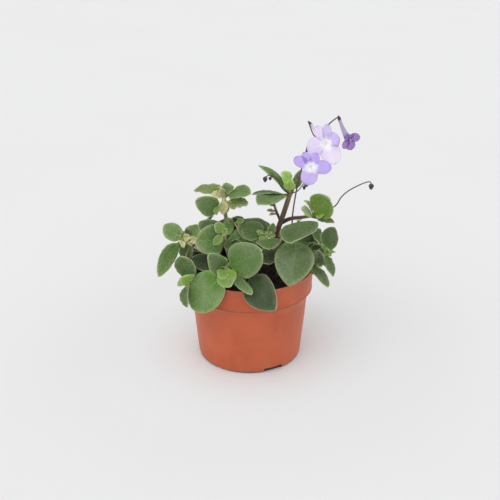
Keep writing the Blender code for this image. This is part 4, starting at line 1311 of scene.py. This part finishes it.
def make_pistils():
    """The pale pistil that shows in the throat of each open flower."""
    for flower in FLOWERS[:2]:
        places = corolla_path(flower)[0][8::3]
        drop = np.outer(np.linspace(0, 1, len(places)), (0, 0, PISTIL_DROP))
        path = smooth_path(places + drop, 4)
        radii = np.interp(np.linspace(0, 1, len(path)), (0, 0.9, 1), (0.3, 0.4, 0.6))
        skin = Skin()
        skin.tube(path, radii, 10)
        skin.piece(f"{flower.name}_pistil", "pistil")


def add_bud(skin, centre, length, thickness):
    """Adds a drooping bud: a blunt drop with a beaked lower end, under its small calyx."""
    top = np.array(centre, float) + (0, 0, 0.5 * length)
    share = np.linspace(0, 1, 15)
    path = top - np.outer(share, (0.0, 0.15 * length, length))
    skin.tube(path, 0.5 * thickness * np.sin(math.pi * share**0.8) ** 0.75 + 0.15, STALK_SIDES,
              stem_place=(0.5, 0.0, 0.0))
    add_sepals(skin, top, np.array([0, -0.15, -1.0]), 0.5 * thickness, 0.5 * length)


def add_sepals(skin, base, axis, radius, length):
    """Adds the narrow pointed sepals that hug what they hold."""
    axis = unit(axis)
    share = np.linspace(0, 1, 7)
    swell = radius * np.sin(0.5 * math.pi * np.clip(share * 1.6, 0, 1)) + 0.18
    for number in range(SEPALS):
        out, _ = ring_axes(axis, FULL_TURN * (number + 0.25) / SEPALS)
        path = base + np.outer(share * length, axis) + np.outer(swell, out)
        skin.tube(path, 0.34 * (1 - share**2) + 0.05, 8, stem_place=(0.8, 0.0, 0.0))


def make_stalks():
    for stalk in STALKS:
        skin = Skin()
        thin = THINNING * stalk.radius
        runs = [(smooth_path(stalk.run, STALK_SPANS), stalk.radius)]
        if stalk.side_run:
            runs.append((smooth_path(stalk.side_run, STALK_SPANS), thin))
        if stalk.name == "flower_stalk":
            runs += [(pedicel_path(skin, flower, thin), thin) for flower in FLOWERS]
        for path, radius in runs:
            skin.tube(path, np.linspace(radius, thin, len(path)), STALK_SIDES, stem_place=(0.6, 0.0, 0.0))
        for bud in stalk.buds:
            add_bud(skin, *bud)
        skin.piece(f"{stalk.name}_hairy", "stalk_purple", stalk.name)


def pedicel_path(skin, flower, radius):
    """Adds the flower's calyx and returns the run of its own stalk."""
    end, tangent = np.array(flower.calyx, float), corolla_path(flower)[1][0]
    start = end - tangent * CALYX_LENGTH
    share = np.linspace(0, 1, 9)
    radii = np.interp(share, (0, 0.6, 1), (radius, 1.3, CALYX_RADIUS))
    skin.tube(np.linspace(start, end, 9), radii, STALK_SIDES, stem_place=(0.7, 0.0, 0.0))
    add_sepals(skin, end - tangent * 0.8, tangent, TUBE_BASE_RADIUS, CALYX_LENGTH)
    return smooth_path([*flower.pedicel, start + (end - start) * CALYX_OVERLAP], STALK_SPANS)


def turned_grid(profile, steps):
    """Rings of points that turn a profile of radii and heights about the upright axis."""
    angles = FULL_TURN * np.arange(steps) / steps
    radii, heights = np.array(profile, float).T
    x, y = np.outer(radii, np.cos(angles)), np.outer(radii, np.sin(angles))
    return np.stack(np.broadcast_arrays(x, y, heights[:, None]), 2)


def bend(centre, radius, start, end, steps=5):
    """Points along an arc, from one angle to another."""
    angles = np.radians(np.linspace(start, end, steps + 1))
    return [(centre[0] + radius * math.cos(a), centre[1] + radius * math.sin(a)) for a in angles]


def pot_profile():
    """From the middle of the inside floor, over the lip and down the outside to the underside."""
    lip_z = POT_HEIGHT - LIP_ROUNDING
    return [
        *((radius, POT_FLOOR) for radius in (0.2, 20, 40, pot_inside_radius(6) - 2)),
        *((pot_inside_radius(z), z) for z in INSIDE_HEIGHTS),
        *bend((POT_RIM_RADIUS - POT_WALL + LIP_ROUNDING, lip_z), LIP_ROUNDING, 180, 90),
        *bend((POT_RIM_RADIUS - LIP_ROUNDING, lip_z), LIP_ROUNDING, 90, 0),
        *BAND_SIDE,
        *bend(*BAND_FOOT_BEND),
        *STEP_SIDE,
        *WALL_SIDE,
        *bend((FOOT_RADIUS - FOOT_ROUNDING, FOOT_ROUNDING), FOOT_ROUNDING, 0, -90, 8),
        *UNDERSIDE,
    ]


def make_pot():
    """The turned pot, less its foot notches and drain holes."""
    skin = Skin()
    skin.loft(turned_grid(pot_profile(), POT_STEPS))
    pot = skin.piece("nursery_pot", "pot_plastic", "pot")
    for index, heading in enumerate(NOTCH_HEADINGS):
        bm = bmesh.new()
        bmesh.ops.create_cube(bm, size=1.0)
        bmesh.ops.scale(bm, verts=bm.verts, vec=Vector(NOTCH_SIZE) * MM)
        bmesh.ops.bevel(bm, geom=bm.edges, offset=NOTCH_ROUNDING * MM, segments=3, affect="EDGES")
        cutter = cut(pot, f"notch_cutter_{index}", bm, FOOT_RADIUS, heading)
        cutter.rotation_euler.z = math.radians(heading)
    radius = DRAIN_RADIUS * MM
    for index, heading in enumerate(DRAIN_HEADINGS):
        bm = bmesh.new()
        bmesh.ops.create_cone(bm, cap_ends=True, segments=40, radius1=radius, radius2=radius,
                              depth=DRAIN_CUT_LENGTH * MM)
        cut(pot, f"drain_cutter_{index}", bm, DRAIN_CIRCLE_RADIUS, heading)
    pot.data.set_sharp_from_angle(angle=math.radians(SHARP_ANGLE))


def cut(piece, name, bm, radius, heading):
    """Cuts a shape out of a piece, at a radius and a heading from its axis."""
    mesh = bpy.data.meshes.new(name)
    bm.to_mesh(mesh)
    bm.free()
    cutter = put(name, mesh)
    cutter.location = Vector(direction(heading, 0)) * radius * MM
    cutter.hide_render = True
    cutter.hide_viewport = True
    boolean = piece.modifiers.new(name, "BOOLEAN")
    boolean.operation = "DIFFERENCE"
    boolean.object = cutter
    return cutter


def lumpiness(x, y, rng):
    """Soil lumps as sums of waves in random directions, in millimetres."""
    height = np.zeros(x.shape)
    for size, depth in SOIL_WAVES:
        for _ in range(WAVES_OF_A_SIZE):
            turn, phase = rng.uniform(0, FULL_TURN, 2)
            wave = FULL_TURN / (size * rng.uniform(0.8, 1.3))
            height += depth / 3 * np.sin(wave * (x * math.cos(turn) + y * math.sin(turn)) + phase)
    return height


def make_soil():
    rng = np.random.default_rng(7)
    edge = pot_inside_radius(SOIL_EDGE_Z) - GAP
    radii = np.concatenate((np.linspace(0.3, edge, SOIL_RINGS), [edge]))
    top = turned_grid([(r, 0) for r in radii], SOIL_STEPS)
    x, y = top[..., 0], top[..., 1]
    top[..., 2] = soil_height(x, y) + lumpiness(x, y, rng)
    top[-1, :, 2] -= SOIL_ROUNDING
    side = [(pot_inside_radius(z) - GAP, z) for z in SOIL_SIDE_HEIGHTS]
    side += [(side[-1][0] - SOIL_ROUNDING, POT_FLOOR + GAP), (0.3, POT_FLOOR + GAP)]
    skin = Skin()
    skin.loft(np.concatenate((top, turned_grid(side, SOIL_STEPS))))
    skin.piece("loose_soil", "peat", "soil")


def make_peat_lumps():
    """Loose lumps of peat and bark on top of the soil."""
    rng = np.random.default_rng(11)
    ball = bmesh.new()
    bmesh.ops.create_icosphere(ball, subdivisions=2, radius=1.0)
    shape = np.array([v.co for v in ball.verts])
    faces = [tuple(v.index for v in f.verts) for f in ball.faces]
    ball.free()
    skin = Skin()
    edge = pot_inside_radius(SOIL_EDGE_Z) - 3
    for _ in range(PEAT_LUMPS):
        radius, turn = edge * math.sqrt(rng.uniform()), rng.uniform(0, FULL_TURN)
        x, y = radius * math.cos(turn), radius * math.sin(turn)
        size = rng.uniform(*LUMP_SIZES)
        rough = shape * (1 + 0.35 * np.sin(shape @ rng.uniform(-4, 4, (3, 3)) + rng.uniform(0, 6, 3)))
        rough = rough * size * rng.uniform((0.6, 0.5, 0.35), (1.2, 1.0, 0.8))
        spin = rng.uniform(0, FULL_TURN)
        c, s = math.cos(spin), math.sin(spin)
        rough = rough @ np.array([[c, s, 0], [-s, c, 0], [0, 0, 1]])
        skin.add(rough + (x, y, soil_height(x, y) + 0.4 * size), faces)
    skin.piece("peat_lumps", "peat")


def make_backdrop():
    """A wide pale floor that curves up into a low wall all round, in metres."""
    profile = [(0.001, 0.0), (1.0, 0.0), (FLOOR_RADIUS - COVE_RADIUS, 0.0)]
    profile += bend((FLOOR_RADIUS - COVE_RADIUS, COVE_RADIUS), COVE_RADIUS, -80, 0, 8)
    rings = turned_grid([*profile, (FLOOR_RADIUS, WALL_HEIGHT)], FLOOR_STEPS)
    skin = Skin()
    skin.sheet(np.concatenate((rings, rings[:, :1]), 1))
    put("backdrop", skin.mesh("backdrop", backdrop_finish(), size=1.0))


def make_studio():
    """One large soft light from the upper left in pale, even surroundings."""
    lamp = bpy.data.lights.new("window_light", "SUN")
    lamp.energy = KEY_STRENGTH
    lamp.angle = math.radians(KEY_SOFTNESS)
    light = put("window_light", lamp)
    light.rotation_euler = Vector(-direction(KEY_HEADING, KEY_CLIMB)).to_track_quat("-Z", "Y").to_euler()
    world = bpy.data.worlds.new("studio_air")
    world.use_nodes = True
    background = world.node_tree.nodes["Background"]
    background.inputs["Color"].default_value = AIR_COLOUR
    background.inputs["Strength"].default_value = AIR_STRENGTH
    bpy.context.scene.world = world
    bpy.context.scene.view_settings.view_transform = "Standard"


def make_camera():
    camera = bpy.data.cameras.new("photo_camera")
    camera.lens = CAMERA_LENS
    camera.sensor_width = CAMERA_SENSOR
    placed = put("photo_camera", camera)
    placed.location = Vector(CAMERA_PLACE) * MM
    placed.rotation_euler = (math.radians(90 + CAMERA_PITCH), 0.0, 0.0)
    bpy.context.scene.camera = placed


make_camera()
make_studio()
make_backdrop()
make_pot()
make_soil()
make_peat_lumps()
make_stems()
make_leaves()
make_more_leaves()
make_stalks()
make_corollas()
make_pistils()
